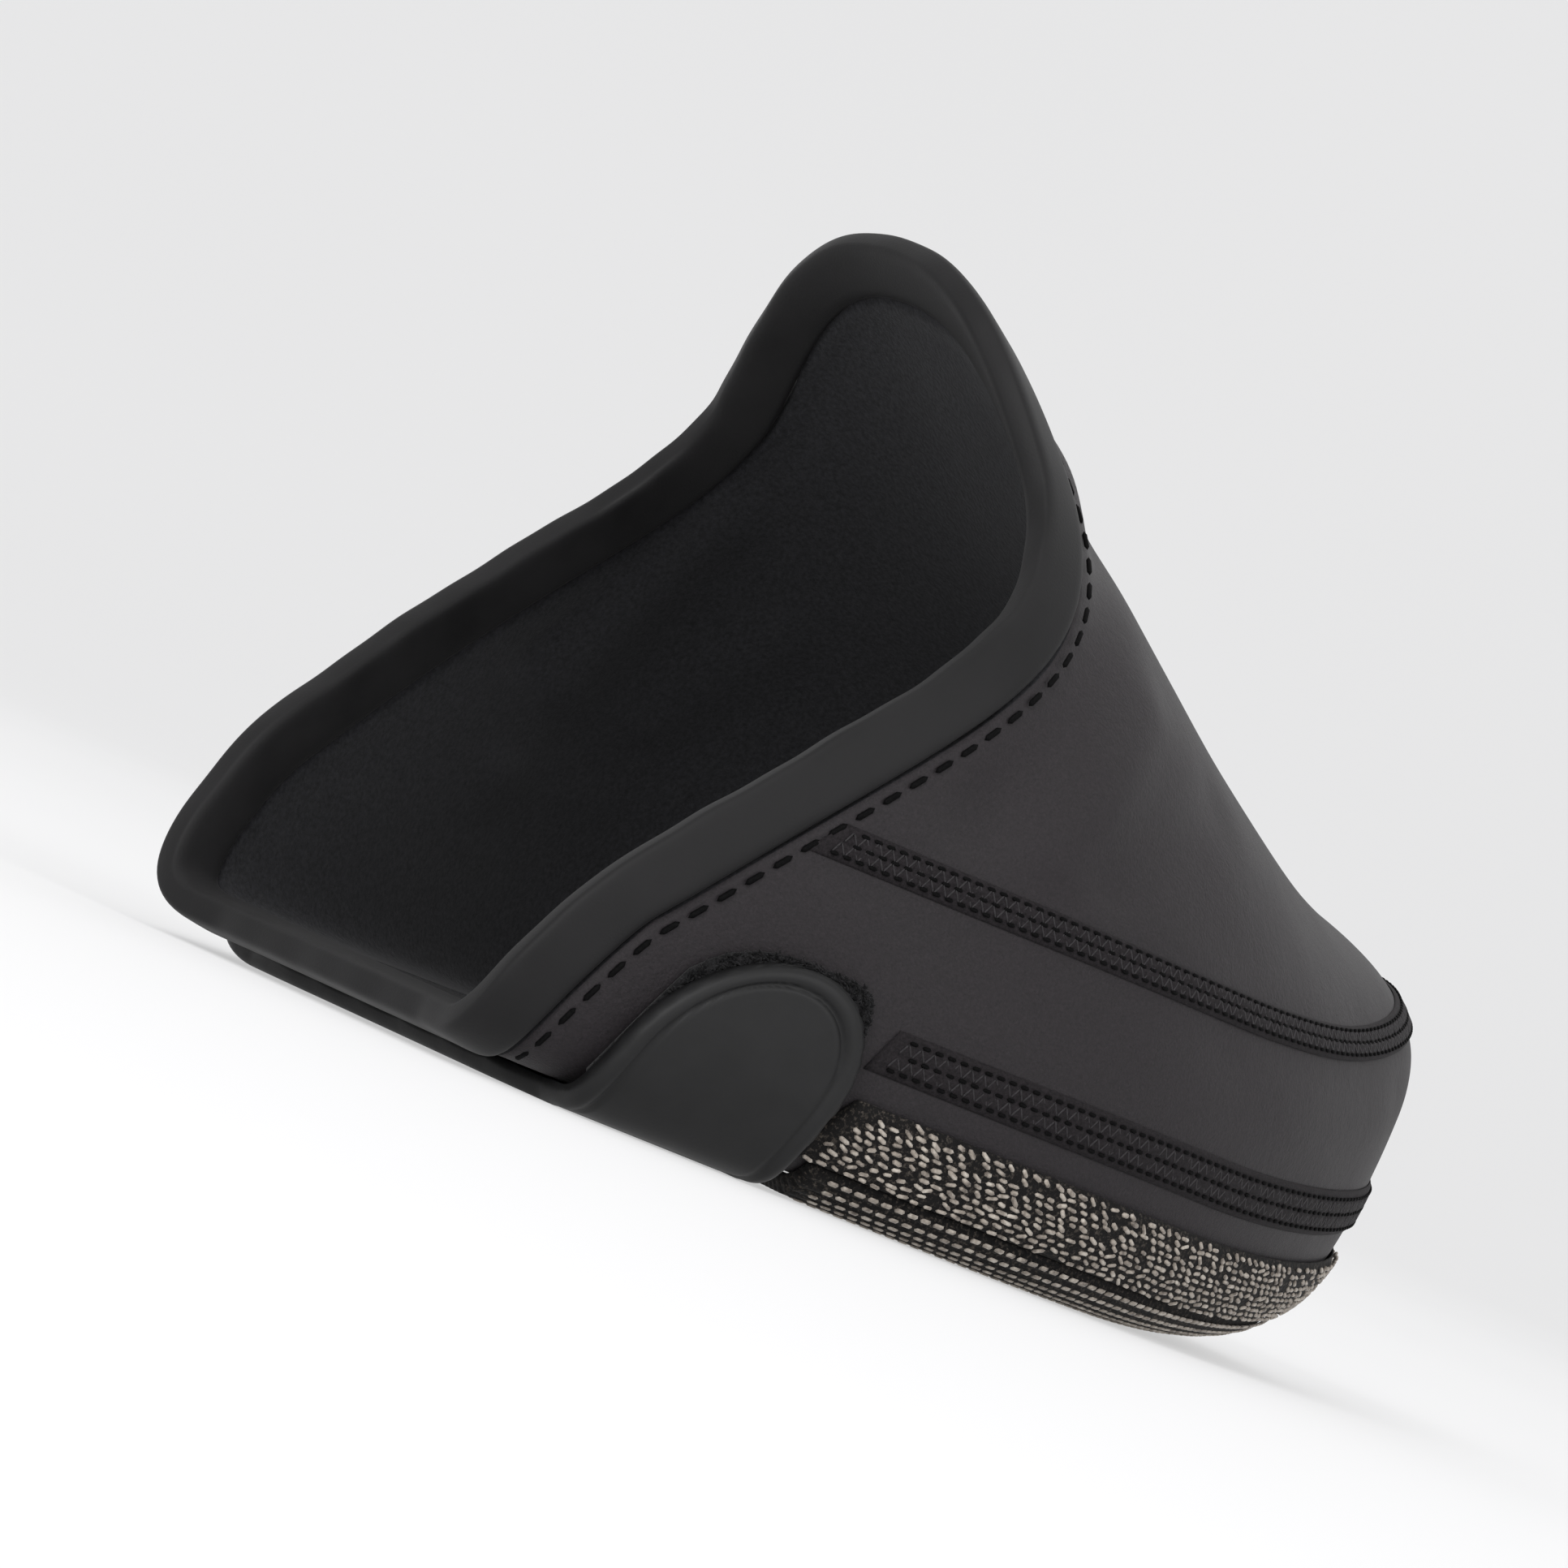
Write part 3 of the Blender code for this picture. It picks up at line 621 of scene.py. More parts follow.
# The other materials: roughness, specular and sheen of the shader; the noise that tints them;
# the noise of their grain, or None for the same one; the grain's height in millimetres and its
# strength; two roughnesses that the tint's noise varies the gloss between, or None; and stops
# of colour on the tint's noise. A noise is a size in millimetres, a detail and a roughness.
FINISHES = {
    # Inside of the neoprene: a dark grey brushed jersey
    "lining": (
        (0.85, 0.15, 0.10), (0.5, 4.0, 0.65), None, (0.12, 0.9), None,
        ((0.3, (0.009, 0.009, 0.010)), (0.7, (0.026, 0.026, 0.029))),
    ),
    # Smooth folded hem, a shade darker and flatter than the neoprene
    "hem_cloth": (
        (0.62, 0.22, 0.03), (9.0, 2.0, 0.55), (0.28, 3.0, 0.6), (0.03, 0.8), (0.52, 0.64),
        ((0.3, (0.0050, 0.0048, 0.0052)), (0.7, (0.0090, 0.0086, 0.0092))),
    ),
    "seam_cloth": (
        (0.80, 0.15, 0.02), (0.3, 3.0, 0.6), None, (0.06, 0.9), None,
        ((0.3, (0.0055, 0.0046, 0.0052)), (0.7, (0.0165, 0.0138, 0.0155))),
    ),
    # Black thread, a little glossier than the cloth round it
    "thread": (
        (0.6, 0.28, 0.03), (0.35, 2.0, 0.5), None, (0.04, 0.8), None,
        ((0.3, (0.0085, 0.0075, 0.0085)), (0.7, (0.0230, 0.0200, 0.0225))),
    ),
    # Thick matt black thread, painted darker than the cloth round it to stand for the shade in its
    # stitch holes
    "hole_shade_thread": (
        (0.8, 0.08, 0.0), (0.3, 2.0, 0.5), None, (0.05, 0.8), None,
        ((0.3, (0.0008, 0.0008, 0.0009)), (0.7, (0.0030, 0.0028, 0.0030))),
    ),
    # Black ground of the guard, with threads of the tan yarn showing between the floats
    "guard_cloth": (
        (0.80, 0.15, 0.02), (0.45, 4.0, 0.7), (0.5, 3.0, 0.6), (0.12, 1.0), None,
        ((0.52, (0.0050, 0.0045, 0.0045)), (0.68, (0.060, 0.051, 0.043))),
    ),
    # Tan and grey-beige yarn of the woven guard
    "yarn": (
        (0.62, 0.4, 0.15), (1.1, 3.0, 0.6), (0.22, 2.0, 0.5), (0.05, 0.8), None,
        ((0.3, (0.09, 0.074, 0.062)), (0.5, (0.27, 0.235, 0.2)), (0.7, (0.46, 0.42, 0.37))),
    ),
    # Smooth rubbery strap: neutral dark grey and matte
    "strap_face": (
        (0.52, 0.26, 0.0), (8.0, 3.0, 0.6), (0.4, 3.0, 0.6), (0.02, 0.7), (0.44, 0.58),
        ((0.3, (0.0068, 0.0068, 0.0071)), (0.7, (0.0108, 0.0108, 0.0112))),
    ),
    # Dark brushed loop face
    "pile": (
        (0.9, 0.10, 0.06), (0.7, 4.0, 0.7), None, (0.35, 1.0), None,
        ((0.35, (0.0020, 0.0020, 0.0022)), (0.65, (0.0180, 0.0175, 0.0185))),
    ),
}


def finish_named(name):
    """Material from its row of the table."""
    shader, tint, grain, relief, gloss, stops = FINISHES[name]
    made = Shading(name, *shader)
    tint = made.noise(*tint)
    made.look("Base Color", made.ramp(tint, stops))
    if gloss:
        made.look("Roughness", made.scaled(tint, 0.25, 0.75, *gloss))
    made.bump(made.noise(*grain) if grain else tint, *relief)
    return made.material


# Sleeve

SLEEVE_COLUMNS = 320
SLEEVE_LIP_ROWS = 14
SLEEVE_CORNER_ROWS = 34
SLEEVE_ARCH_ROWS = 104
WELD = 4e-6
# How the cloth lies beside the creases, in millimetres
UNEVENNESS = 0.16
SEAM_PINCH = 0.16
HEM_PINCH = 0.25
MOST_LIFT = 1.2
COVER_FADE = 6.0 * MM


def near_segment(x, z, x0, z0, x1, z1):
    """Distance in the side view from points to a segment, all in millimetres."""
    dx, dz = x1 - x0, z1 - z0
    share = np.clip(((x - x0) * dx + (z - z0) * dz) / (dx * dx + dz * dz), 0, 1)
    return np.hypot(x - x0 - share * dx, z - z0 - share * dz)


def band_cover(lengths):
    """1 where a seam or the guard lies on the sleeve and 0 away from them."""
    vamp = 1 - smooth((np.abs(lengths - VAMP_SEAM_RISE) - VAMP_SEAM_WIDTH / 2) / COVER_FADE)
    low = GUARD_TOP + GUARD_SEAM_RISE + GUARD_SEAM_WIDTH / 2
    return np.maximum(vamp, 1 - smooth((lengths - low) / COVER_FADE))


def folds(points, columns, lengths):
    """Outward lift of the sleeve: listed creases, a slow unevenness and pinched seams."""
    x, y, z = (points[..., n] / MM for n in range(3))
    lift = np.zeros_like(x)
    for row in CREASES:
        crease = dict(zip(CREASE_COLUMNS, row))
        reach = near_segment(x, z, *(crease[end] for end in ("x0", "z0", "x1", "z1")))
        sunk = crease["depth"] * np.exp(-((reach / crease["width"]) ** 2))
        lift -= sunk * smooth(crease["side"] * y / 8.0)
    lift += UNEVENNESS * np.sin(x / 5.3 + 1.1 * np.sin(y / 9.1)) * np.sin(y / 7.7 + z / 8.9 + 0.6)
    # The cloth is pinched along both sides of the seams
    for middle, width in (
        (VAMP_SEAM_RISE, VAMP_SEAM_WIDTH),
        (GUARD_TOP + GUARD_SEAM_RISE, GUARD_SEAM_WIDTH),
    ):
        off = np.abs(lengths - middle) / MM - width / 2 / MM - 0.5
        ripple = 0.75 + 0.25 * np.sin(columns * 150.0)
        lift -= SEAM_PINCH * ripple * np.exp(-((off / 1.3) ** 2))
    # Pinched along the hem too
    behind = (SIDE_END - np.abs(columns)) * LENGTH / MM
    lift -= HEM_PINCH * np.exp(-((behind - 1.2) ** 2) / 1.2)
    free = 1 - band_cover(lengths)
    held = smooth((behind - 2.2) / 5.0)
    lift = np.where(lift > 0, lift * free * held, lift * (0.15 + 0.85 * free))
    return np.minimum(lift, MOST_LIFT) * MM


def sleeve():
    """The neoprene shell, with its wall and dark lining."""
    grid = []
    for c in np.linspace(-SIDE_END, SIDE_END, SLEEVE_COLUMNS + 1):
        turns, lengths = girth_table(c)
        at = np.interp([-1, 0], turns, lengths)
        rows = np.concatenate(
            [
                np.linspace(lengths[0], at[0], SLEEVE_LIP_ROWS + 1)[:-1],
                np.linspace(at[0], at[1], SLEEVE_CORNER_ROWS + 1)[:-1],
                np.linspace(at[1], lengths[-1], SLEEVE_ARCH_ROWS + 1),
            ]
        )
        found = np.interp(rows, lengths, turns)
        angles = leaned(c, found)
        points = body(angles, found)
        lift = folds(points, np.full_like(rows, c), rows)
        grid.append(points + normal(angles, found) * lift[:, None])
    grid = np.array(grid)
    rows, columns = grid.shape[:2]
    faces = quads(rows, columns).tolist()
    placed = add_mesh("sleeve", grid.reshape(-1, 3), faces, neoprene(), node="upper")
    # The points of the ridge's front end fall together
    worked(placed, lambda made: bmesh.ops.remove_doubles(made, verts=made.verts, dist=WELD))
    placed.data.materials.append(finish_named("lining"))
    wall = placed.modifiers.new("wall", "SOLIDIFY")
    wall.thickness = WALL
    wall.offset = -1
    wall.material_offset = 1
    wall.material_offset_rim = 1


# Woven guard and ribbed rim

RIM_PITCH = 1.30 * MM
RIM_STEP = 1.60 * MM
GUARD_PITCH = 0.76 * MM
GUARD_STEP = 1.62 * MM
SLAB_COLUMNS = 420
GUARD_ROWS = 40
ROWS_PER_RIB = 7
GUARD_SUNK = 0.25 * MM
RIM_SUNK = 0.20 * MM
YARN_SUNK = 0.22 * MM
RIB_DEPTH = 0.26 * MM


def woven_slab(node, low, high, starts, thickness, rows, finish, wave=None):
    """A band of cloth over the body between two lengths of girth."""
    lengths = np.linspace(low, high, rows)[None, :]
    end = band_limits("rim_outer_end")[1]
    first = starts(lengths)
    columns = first + (end - first) * np.linspace(0, 1, SLAB_COLUMNS)[:, None]
    edge = np.minimum(lengths - low, high - lengths)
    back = np.minimum(columns - first, end - columns) * LENGTH
    toe = 1 - smooth(np.abs(columns) / 1.1)
    ease = (0.9 + 1.1 * toe) * MM
    round_edge = (0.35 - 0.25 * toe) + (0.65 + 0.25 * toe) * smooth(np.minimum(edge, back) / ease)
    upper_lift = GAP + thickness(lengths) * round_edge
    if wave is not None:
        upper_lift = upper_lift + wave(columns, lengths)
    upper = on_surface(columns, lengths, upper_lift)
    lower = on_surface(columns, lengths, GAP)
    add_slab(node + "_cloth", lower, upper, finish, node)


def toe_guard(cloth, tan):
    """Woven panel round the toe and both sides, with its tan floats as small yarns."""
    woven_slab(
        "toe_guard",
        RIM_TOP + GAP,
        GUARD_TOP,
        guard_start,
        lambda lengths: np.full_like(lengths, GUARD_THICKNESS - GUARD_SUNK),
        GUARD_ROWS,
        cloth,
    )
    rng = np.random.RandomState(7)
    end = band_limits("rim_outer_end")[1]
    columns, lengths, turns, sizes = [], [], [], []
    rows = np.arange(RIM_TOP + 1.0 * MM, GUARD_TOP - 0.3 * MM, GUARD_PITCH)
    for row, length in enumerate(rows):
        share = row / (len(rows) - 1)
        # Each row is a third of a step behind the one below, as in a twill
        at = spaced(length, guard_start(length) + 0.008, end - 0.008, GUARD_STEP, row % 3 * 0.667)
        # The floats thin out towards the top edge
        at = at[rng.uniform(size=len(at)) > 0.03 + 0.22 * share**2]
        columns.append(at + rng.normal(0, 0.0011, len(at)))
        lengths.append(np.full(len(at), length) + rng.normal(0, 0.07 * MM, len(at)))
        turns.append(-18.0 * share + rng.normal(0, 14.0, len(at)))
        half = rng.uniform(0.50, 0.84, len(at))
        wide = 0.25 + 0.08 * rng.uniform(size=len(at))
        sizes.append(np.stack([half, wide, np.full(len(at), 0.24)], -1))
    columns, lengths = np.concatenate(columns), np.concatenate(lengths)
    lengths = np.clip(lengths, RIM_TOP + 0.7 * MM, GUARD_TOP - 0.35 * MM)
    places = axes_at(columns, lengths, GAP + GUARD_THICKNESS - YARN_SUNK)
    places = swung(places, np.concatenate(turns))
    add_beads("toe_guard_yarn", places, np.concatenate(sizes), tan)


def rim_full(lengths):
    """Thickness of the ribbed rim, which is most where the cover stands on it."""
    rise = np.clip(lengths / RIM_TOP, 0, 1)
    return STRAP_THICKNESS + (GUARD_THICKNESS - STRAP_THICKNESS) * rise


def sole_rim(cloth, tan):
    """Ribbed elastic that turns under the foot, with a yarn along each rib."""
    low, high = -LIP + 2 * GAP, RIM_TOP
    count = int((high - low) / RIM_PITCH)
    pitch = (high - low) / count

    def ribs(columns, lengths):
        share = (lengths - low) / pitch
        return -RIB_DEPTH * (1 - np.abs(np.sin(math.pi * share)) ** 0.7) + 0 * columns

    start, end = band_limits("rim_outer_end")
    woven_slab(
        "sole_rim",
        low,
        high,
        lambda lengths: np.full_like(lengths, start),
        lambda lengths: rim_full(lengths) - RIM_SUNK,
        count * ROWS_PER_RIB,
        cloth,
        ribs,
    )
    rng = np.random.RandomState(11)
    columns, lengths, sizes = [], [], []
    for row in range(count):
        length = low + (row + 0.5) * pitch
        at = spaced(length, start + 0.012, end - 0.012, RIM_STEP, row % 2)
        columns.append(at)
        lengths.append(np.full(len(at), length))
        # Round the toe the floats run together into long light ribs
        toe = 1 - smooth((np.abs(at) - 0.35) / 0.75)
        half = 0.66 + 0.20 * toe + rng.uniform(-0.05, 0.05, len(at))
        sizes.append(np.stack([half, 0.47 + 0 * half, 0.22 + 0 * half], axis=-1))
    columns, lengths = np.concatenate(columns), np.concatenate(lengths)
    places = axes_at(columns, lengths, GAP + rim_full(lengths) - YARN_SUNK)
    places = swung(places, rng.normal(0, 3.0, len(columns)))
    add_beads("sole_rim_yarn", places, np.concatenate(sizes), tan)


# Flat seams

SEAM_ROWS = (-0.34, 0.0, 0.34)
STITCH_PITCH = 1.5 * MM
SEAM_RELIEF = 0.50 * MM
SEAM_STEPS = 460
SEAM_ACROSS = 29
SEAM_END_INSET = 0.006
VAMP_END = 0.012
# Half length, half width and half height of the threads in millimetres
SEAM_STITCH = (0.52, 0.25, 0.17)
SEAM_CROSSING = (0.78, 0.14, 0.12)
CROSSING_LEAN = 60.0


def flat_seam(name, middle, width, start, end, cloth, threads):
    """A raised flat seam: a domed band under rows of stitches and crossing threads."""
    columns = np.linspace(start, end, SEAM_STEPS)[:, None]
    across = np.linspace(-0.5, 0.5, SEAM_ACROSS)[None, :]
    ends = smooth(np.minimum(columns - start, end - columns) * LENGTH / (2.5 * MM))
    dome = (1 - (2 * np.abs(across)) ** 4) * (0.3 + 0.7 * ends)
    channels = sum(np.exp(-(((across - row) * width / (0.26 * MM)) ** 2)) for row in SEAM_ROWS)
    pucker = 0.05 * MM * np.cos(columns * 140.0) * (1 - (2 * across) ** 2)
    lift = GAP * 0.4 + SEAM_RELIEF * dome - 0.14 * MM * channels * dome + pucker
    upper = on_surface(columns, middle + width * across, lift)
    lower = on_surface(columns, middle + width * across, GAP * 0.2)
    add_slab(name + "_band", lower, upper, cloth, name)
    top = GAP * 0.4 + SEAM_RELIEF - 0.06 * MM

    def sewn(offset, pitch, phase=0):
        """Places on top of the band, on a line at a share of its width."""
        length = middle + width * offset
        at = spaced(length, start + SEAM_END_INSET, end - SEAM_END_INSET, pitch, phase)
        return axes_at(at, length, top)

    rows = [sewn(offset, STITCH_PITCH, row % 2) for row, offset in enumerate(SEAM_ROWS)]
    crossings = []
    for low, high in zip(SEAM_ROWS, SEAM_ROWS[1:]):
        found = sewn((low + high) / 2, STITCH_PITCH / 2)
        lean = np.where(np.arange(len(found[0])) % 2 == 0, CROSSING_LEAN, -CROSSING_LEAN)
        crossings.append(swung(found, lean))
    for word, lines, size, finish in (
        ("stitches", rows, SEAM_STITCH, threads[0]),
        ("crossings", crossings, SEAM_CROSSING, threads[1]),
    ):
        places = [np.concatenate([line[n] for line in lines]) for n in range(4)]
        add_beads(f"{name}_{word}", places, size, finish)


# Hem

HEM_SECTION = 32
HEM_STEPS = 560
HEM_EASING = 14
HEM_TAPER = 0.34
HEM_STITCH_INSET = 1.3 * MM
HEM_STITCH_PITCH = 3.4 * MM
HEM_STITCH = (1.25, 0.40, 0.30)
HEM_ROUNDNESS = 0.42
COLLAR_SIDE_STEPS = 190
COLLAR_ARCH_STEPS = 61


def eased(ring):
    """A closed ring of triples with its corners softened."""
    for _ in range(HEM_EASING):
        ring = (np.roll(ring, 1, axis=0) + 2 * ring + np.roll(ring, -1, axis=0)) / 4
    return ring


def collar_ring():
    """Points, outward normals and rearward directions round the whole collar."""
    points, normals = [], []
    for side in (-1, 1):
        turns, lengths = girth_table(side * SIDE_END)
        turns = np.interp(np.linspace(lengths[0], lengths[-1], COLLAR_SIDE_STEPS), lengths, turns)
        angles = leaned(side * SIDE_END, turns)
        points.append(body(angles, turns)[::-side])
        normals.append(normal(angles, turns)[::-side])
    # Up the outer side, over the ridge once, down the inner side and under the arch
    ring = np.concatenate([points[0], points[1][1:]])
    out = np.concatenate([normals[0], normals[1][1:]])
    share = np.linspace(0, 1, COLLAR_ARCH_STEPS)[1:-1, None]
    ring = np.concatenate([ring, ring[-1] + share * (ring[0] - ring[-1])])
    out = np.concatenate([out, out[-1] + share * (out[0] - out[-1])])
    # Even steps, and then the corners of the ring are eased
    closed, closed_out = np.concatenate([ring, ring[:1]]), np.concatenate([out, out[:1]])
    run = run_along(closed)
    even = np.arange(HEM_STEPS) / HEM_STEPS * run[-1]
    ring, out = eased(picked(even, run, closed)), unit(eased(picked(even, run, closed_out)))
    ahead = np.roll(ring, -1, axis=0) - np.roll(ring, 1, axis=0)
    rearward = unit(np.cross(out, ahead))
    rearward *= -np.sign(rearward[:, :1])
    return ring, out, unit(eased(rearward))


def collar_hem(cloth, shade_painted_thread):
    """Folded hem behind the sleeve's edge, and the dashed stitch line before it."""
    ring, out, rearward = collar_ring()
    turns_round = np.arange(HEM_STEPS) / HEM_STEPS * 2 * math.pi
    deep = WALL + 2 * HEM_PROUD
    turn = np.arange(HEM_SECTION) / HEM_SECTION * 2 * math.pi
    wide, tall = (np.sign(f) * np.abs(f) ** HEM_ROUNDNESS for f in (np.cos(turn), np.sin(turn)))
    ripple = 0.04 * MM * np.sin(turns_round * 41) + 0.10 * MM * np.sin(turns_round * 17 + 1.0)
    middle = (GAP + HEM_WIDTH) / 2
    loops = []
    for point, up, away, more in zip(ring, out, rearward, ripple):
        b = middle + more * (wide + 1) / 2 + (HEM_WIDTH - GAP) / 2 * wide
        # The band is thickest where it laps the sleeve and thins to its rear fold
        thin = 1 - HEM_TAPER * (wide + 1) / 2
        n = HEM_PROUD - deep / 2 + deep / 2 * tall * thin
        loops.append(point + away * b[:, None] + up * n[:, None])
    loops = np.array(loops)
    here = np.arange(HEM_STEPS)[:, None] * HEM_SECTION + np.arange(HEM_SECTION)
    after = np.roll(here, -1, axis=0)
    faces = np.stack(
        [here, after, np.roll(after, -1, axis=1), np.roll(here, -1, axis=1)], axis=-1
    ).reshape(-1, 4)
    turned_out(
        add_mesh("collar_hem_roll", loops.reshape(-1, 3), faces.tolist(), cloth, node="collar_hem")
    )
    # Stitches on the sleeve, except under the foot where the arch panel is
    over = np.nonzero(ring[:, 2] > BASE + 0.5 * MM)[0]
    top = slice(over[0], over[-1] + 1)
    line = ring[top] - rearward[top] * HEM_STITCH_INSET
    along = unit(np.gradient(line, axis=0))
    run = run_along(line)
    at = np.arange(1.0 * MM, run[-1] - 1.0 * MM, HEM_STITCH_PITCH)
    here, ahead, up = (picked(at, run, values) for values in (line, along, out[top]))
    ahead, up = unit(ahead), unit(up)
    places = (here + up * 0.10 * MM, ahead, np.cross(up, ahead), up)
    add_beads("collar_hem_stitches", places, HEM_STITCH, shade_painted_thread)


# Strap and its patch

STRAP_EDGE = 0.9 * MM
BORDER_INSET = 2.1 * MM
STRAP_ACROSS = 61
SEWN_ROUND = 2.5 * MM
SEWN_INSET = 2.0 * MM
SEWN_LENGTH = 9.0 * MM
SEWN_STITCH_PITCH = 2.2 * MM
SEWN_STITCH = (0.85, 0.25, 0.20)
# Bent corners under the foot, where the strap has its finest steps
STRAP_CORNER = 11.0 * MM
STRAP_STEP = 0.5 * MM
STRAP_EASING = 10
# Groove inside the tab's border and the low ridge beside it
GROOVE_DEPTH = 0.50 * MM
GROOVE_HALF = 0.24 * MM
BORDER_RIDGE = 0.14 * MM
BORDER_RIDGE_INSET = 1.3 * MM
BORDER_RIDGE_HALF = 0.55 * MM
BORDER_START = 40.0 * MM
BORDER_FADE = 12.0 * MM


def strap_run():
    """Length of the strap's three stretches: inner side, under the foot, outer side."""
    table = {name: column(STRAP_COLUMNS, STRAP, name) for name in STRAP_COLUMNS}
    middle = Spline(table["along"], -table["middle"] * LENGTH)
    half = Spline(table["along"], table["half"] * STRAP_WIDTH)
    ends = body(angle_at(float(middle(0.5))) * np.array([-1, 1]), -1.0)
    under = float(np.linalg.norm(ends[1] - ends[0]))
    return middle, half, under, STRAP_ANCHOR_RISE + under + STRAP_TAB_RISE


def upright_turns(angles, length):
    """Turns at a length of girth on lines that don't lean with the collar."""
    turns = np.linspace(-1, 1, 321)
    found = []
    for angle in angles:
        points = body(np.full_like(turns, angle), turns)
        found.append(np.interp(length, run_along(points), turns))
    return np.array(found)


def strap_inner(x, side, place):
    """Points of the strap's inner face at stations along x, with their outward normals."""
    angles = angle_at(x)
    down = np.broadcast_to(np.array([0.0, 0.0, -1.0]), (len(x), 3))
    if side == 0:
        outer, inner = body(-angles, -1.0), body(angles, -1.0)
        return inner + (outer - inner) * place + down * GAP, down
    climb = 0.0
    if side < 0:
        climb = (PATCH_THICKNESS + GAP) * smooth((place - 1.5 * MM) / (PATCH_BOTTOM - 2.5 * MM))
    turns = upright_turns(side * angles, place)
    out = normal(side * angles, turns)
    return body(side * angles, turns) + out * (GAP + climb), out


def strap_half(run, total, half):
    """Half of the strap's width before the tab's round: its sewn end has round corners."""
    past = np.clip(1 - run / SEWN_ROUND, 0, 1)
    return half(run / total) - SEWN_ROUND * (1 - np.sqrt(1 - past**2))


def outline_gap(run, across, total, half):
    """Distance of a grid of flat points to the strap's outline."""
    at = np.linspace(0, total - TAB_ROUND, 400)
    edge = strap_half(at, total, half)
    tip = np.linspace(0, SIDE_END, 80)
    tip_half = float(half(1 - TAB_ROUND / total))
    runs = np.concatenate([at, total - TAB_ROUND * (1 - np.sin(tip))])
    widths = np.concatenate([edge, tip_half * np.cos(tip)])
    end = np.linspace(-edge[0], edge[0], 40)
    sides = ((runs, widths), (runs, -widths), (0 * end, end))
    points = np.concatenate([np.stack(side, -1) for side in sides])
    flat = np.stack([run.ravel(), across.ravel()], -1)
    found = np.empty(len(flat))
    for start in range(0, len(flat), 2000):
        part = flat[start : start + 2000]
        gaps = np.hypot(*(part[:, None, :] - points[None]).transpose(2, 0, 1))
        found[start : start + 2000] = gaps.min(axis=1)
    return found.reshape(run.shape)


def strap(finish):
    """Strap under the arch with a round tab: rounded edges and a line inside its border."""
    middle, half, under, total = strap_run()
    tip_half = float(half(1 - TAB_ROUND / total))
    corner = np.arange(0, STRAP_CORNER, STRAP_STEP)
    inner_rise = np.concatenate([corner, np.linspace(STRAP_CORNER, STRAP_ANCHOR_RISE, 22)])
    turn = np.linspace(0, SIDE_END - 0.02, 44)
    outer_rise = np.concatenate([corner, STRAP_TAB_RISE - TAB_ROUND * (1 - np.sin(turn))])
    outer_rise = np.unique(np.round(outer_rise, 7))
    rows = [(1, place) for place in inner_rise[::-1]]
    rows += [(0, share) for share in np.linspace(0, 1, 90)[1:-1]]
    rows += [(-1, place) for place in outer_rise]
    runs, widths, inner, out = [], [], [], []
    before = {1: STRAP_ANCHOR_RISE, 0: STRAP_ANCHOR_RISE, -1: STRAP_ANCHOR_RISE + under}
    for side, place in rows:
        run = before[side] + {1: -place, 0: place * under, -1: place}[side]
        past = 1 - (total - run) / TAB_ROUND
        if past > 0:
            width = tip_half * math.sqrt(max(1 - past**2, 0.0))
        else:
            width = float(strap_half(run, total, half))
        across = np.linspace(1, -1, STRAP_ACROSS) * width
        centre = float(middle(min(run / total, 1.0)))
        points, normals = strap_inner(across + centre, side, place)
        runs.append(np.full(STRAP_ACROSS, run))
        widths.append(across)
        inner.append(points)
        out.append(normals)
    runs, widths, inner, out = (np.array(one) for one in (runs, widths, inner, out))
    # Normals turn evenly round the tight corners
    for _ in range(STRAP_EASING):
        out[1:-1] = (out[:-2] + 2 * out[1:-1] + out[2:]) / 4
    out = unit(out)
    gap = outline_gap(runs, widths, total, half)
    rounded = np.sqrt(np.clip(1 - (1 - np.clip(gap / STRAP_EDGE, 0, 1)) ** 2, 0, 1))
    thick = STRAP_THICKNESS * (0.35 + 0.65 * rounded)
    on_tab = smooth((runs - (total - BORDER_START)) / BORDER_FADE)
    groove = np.exp(-(((gap - BORDER_INSET) / GROOVE_HALF) ** 2))
    ridge = np.exp(-(((gap - BORDER_RIDGE_INSET) / BORDER_RIDGE_HALF) ** 2))
    thick = thick + on_tab * (BORDER_RIDGE * ridge - GROOVE_DEPTH * groove)
    upper = inner + out * thick[..., None]
    add_slab("strap_band", inner, upper, finish, "strap")


def strap_stitches(shade_painted_thread):
    """A row of stitches round the strap's sewn end, on the inner side of the foot."""
    middle, half, _, total = strap_run()
    wide = float(half(0.05)) - SEWN_INSET
    near, far = SEWN_INSET, SEWN_LENGTH
    corners = np.array([(far, wide), (near, wide), (near, -wide), (far, -wide), (far, wide)])
    line = np.concatenate(
        [a + (b - a) * np.linspace(0, 1, 40)[:-1, None] for a, b in zip(corners, corners[1:])]
    )
    points, out = [], []
    for run, across in line:
        station = np.array([across + float(middle(run / total))])
        found, away = strap_inner(station, 1, STRAP_ANCHOR_RISE - run)
        points.append(found[0] + away[0] * (STRAP_THICKNESS + 0.02 * MM))
        out.append(away[0])
    points, out = np.array(points), np.array(out)
    closed = np.concatenate([points, points[:1]])
    run = run_along(closed)
    count = int(run[-1] / SEWN_STITCH_PITCH)
    at = (np.arange(count) + 0.5) / count * run[-1]
    place = np.clip(np.searchsorted(run, at) - 1, 0, len(points) - 1)
    ahead, up = unit(closed[place + 1] - closed[place]), out[place]
    places = (picked(at, run, closed), ahead, np.cross(up, ahead), up)
    add_beads("strap_stitches", places, SEWN_STITCH, shade_painted_thread)


PILE_LOOPS = 2600
# Half length of a loop in millimetres and its half width as a share of that
PILE_HALF = 0.55
PILE_SLIM = 0.26


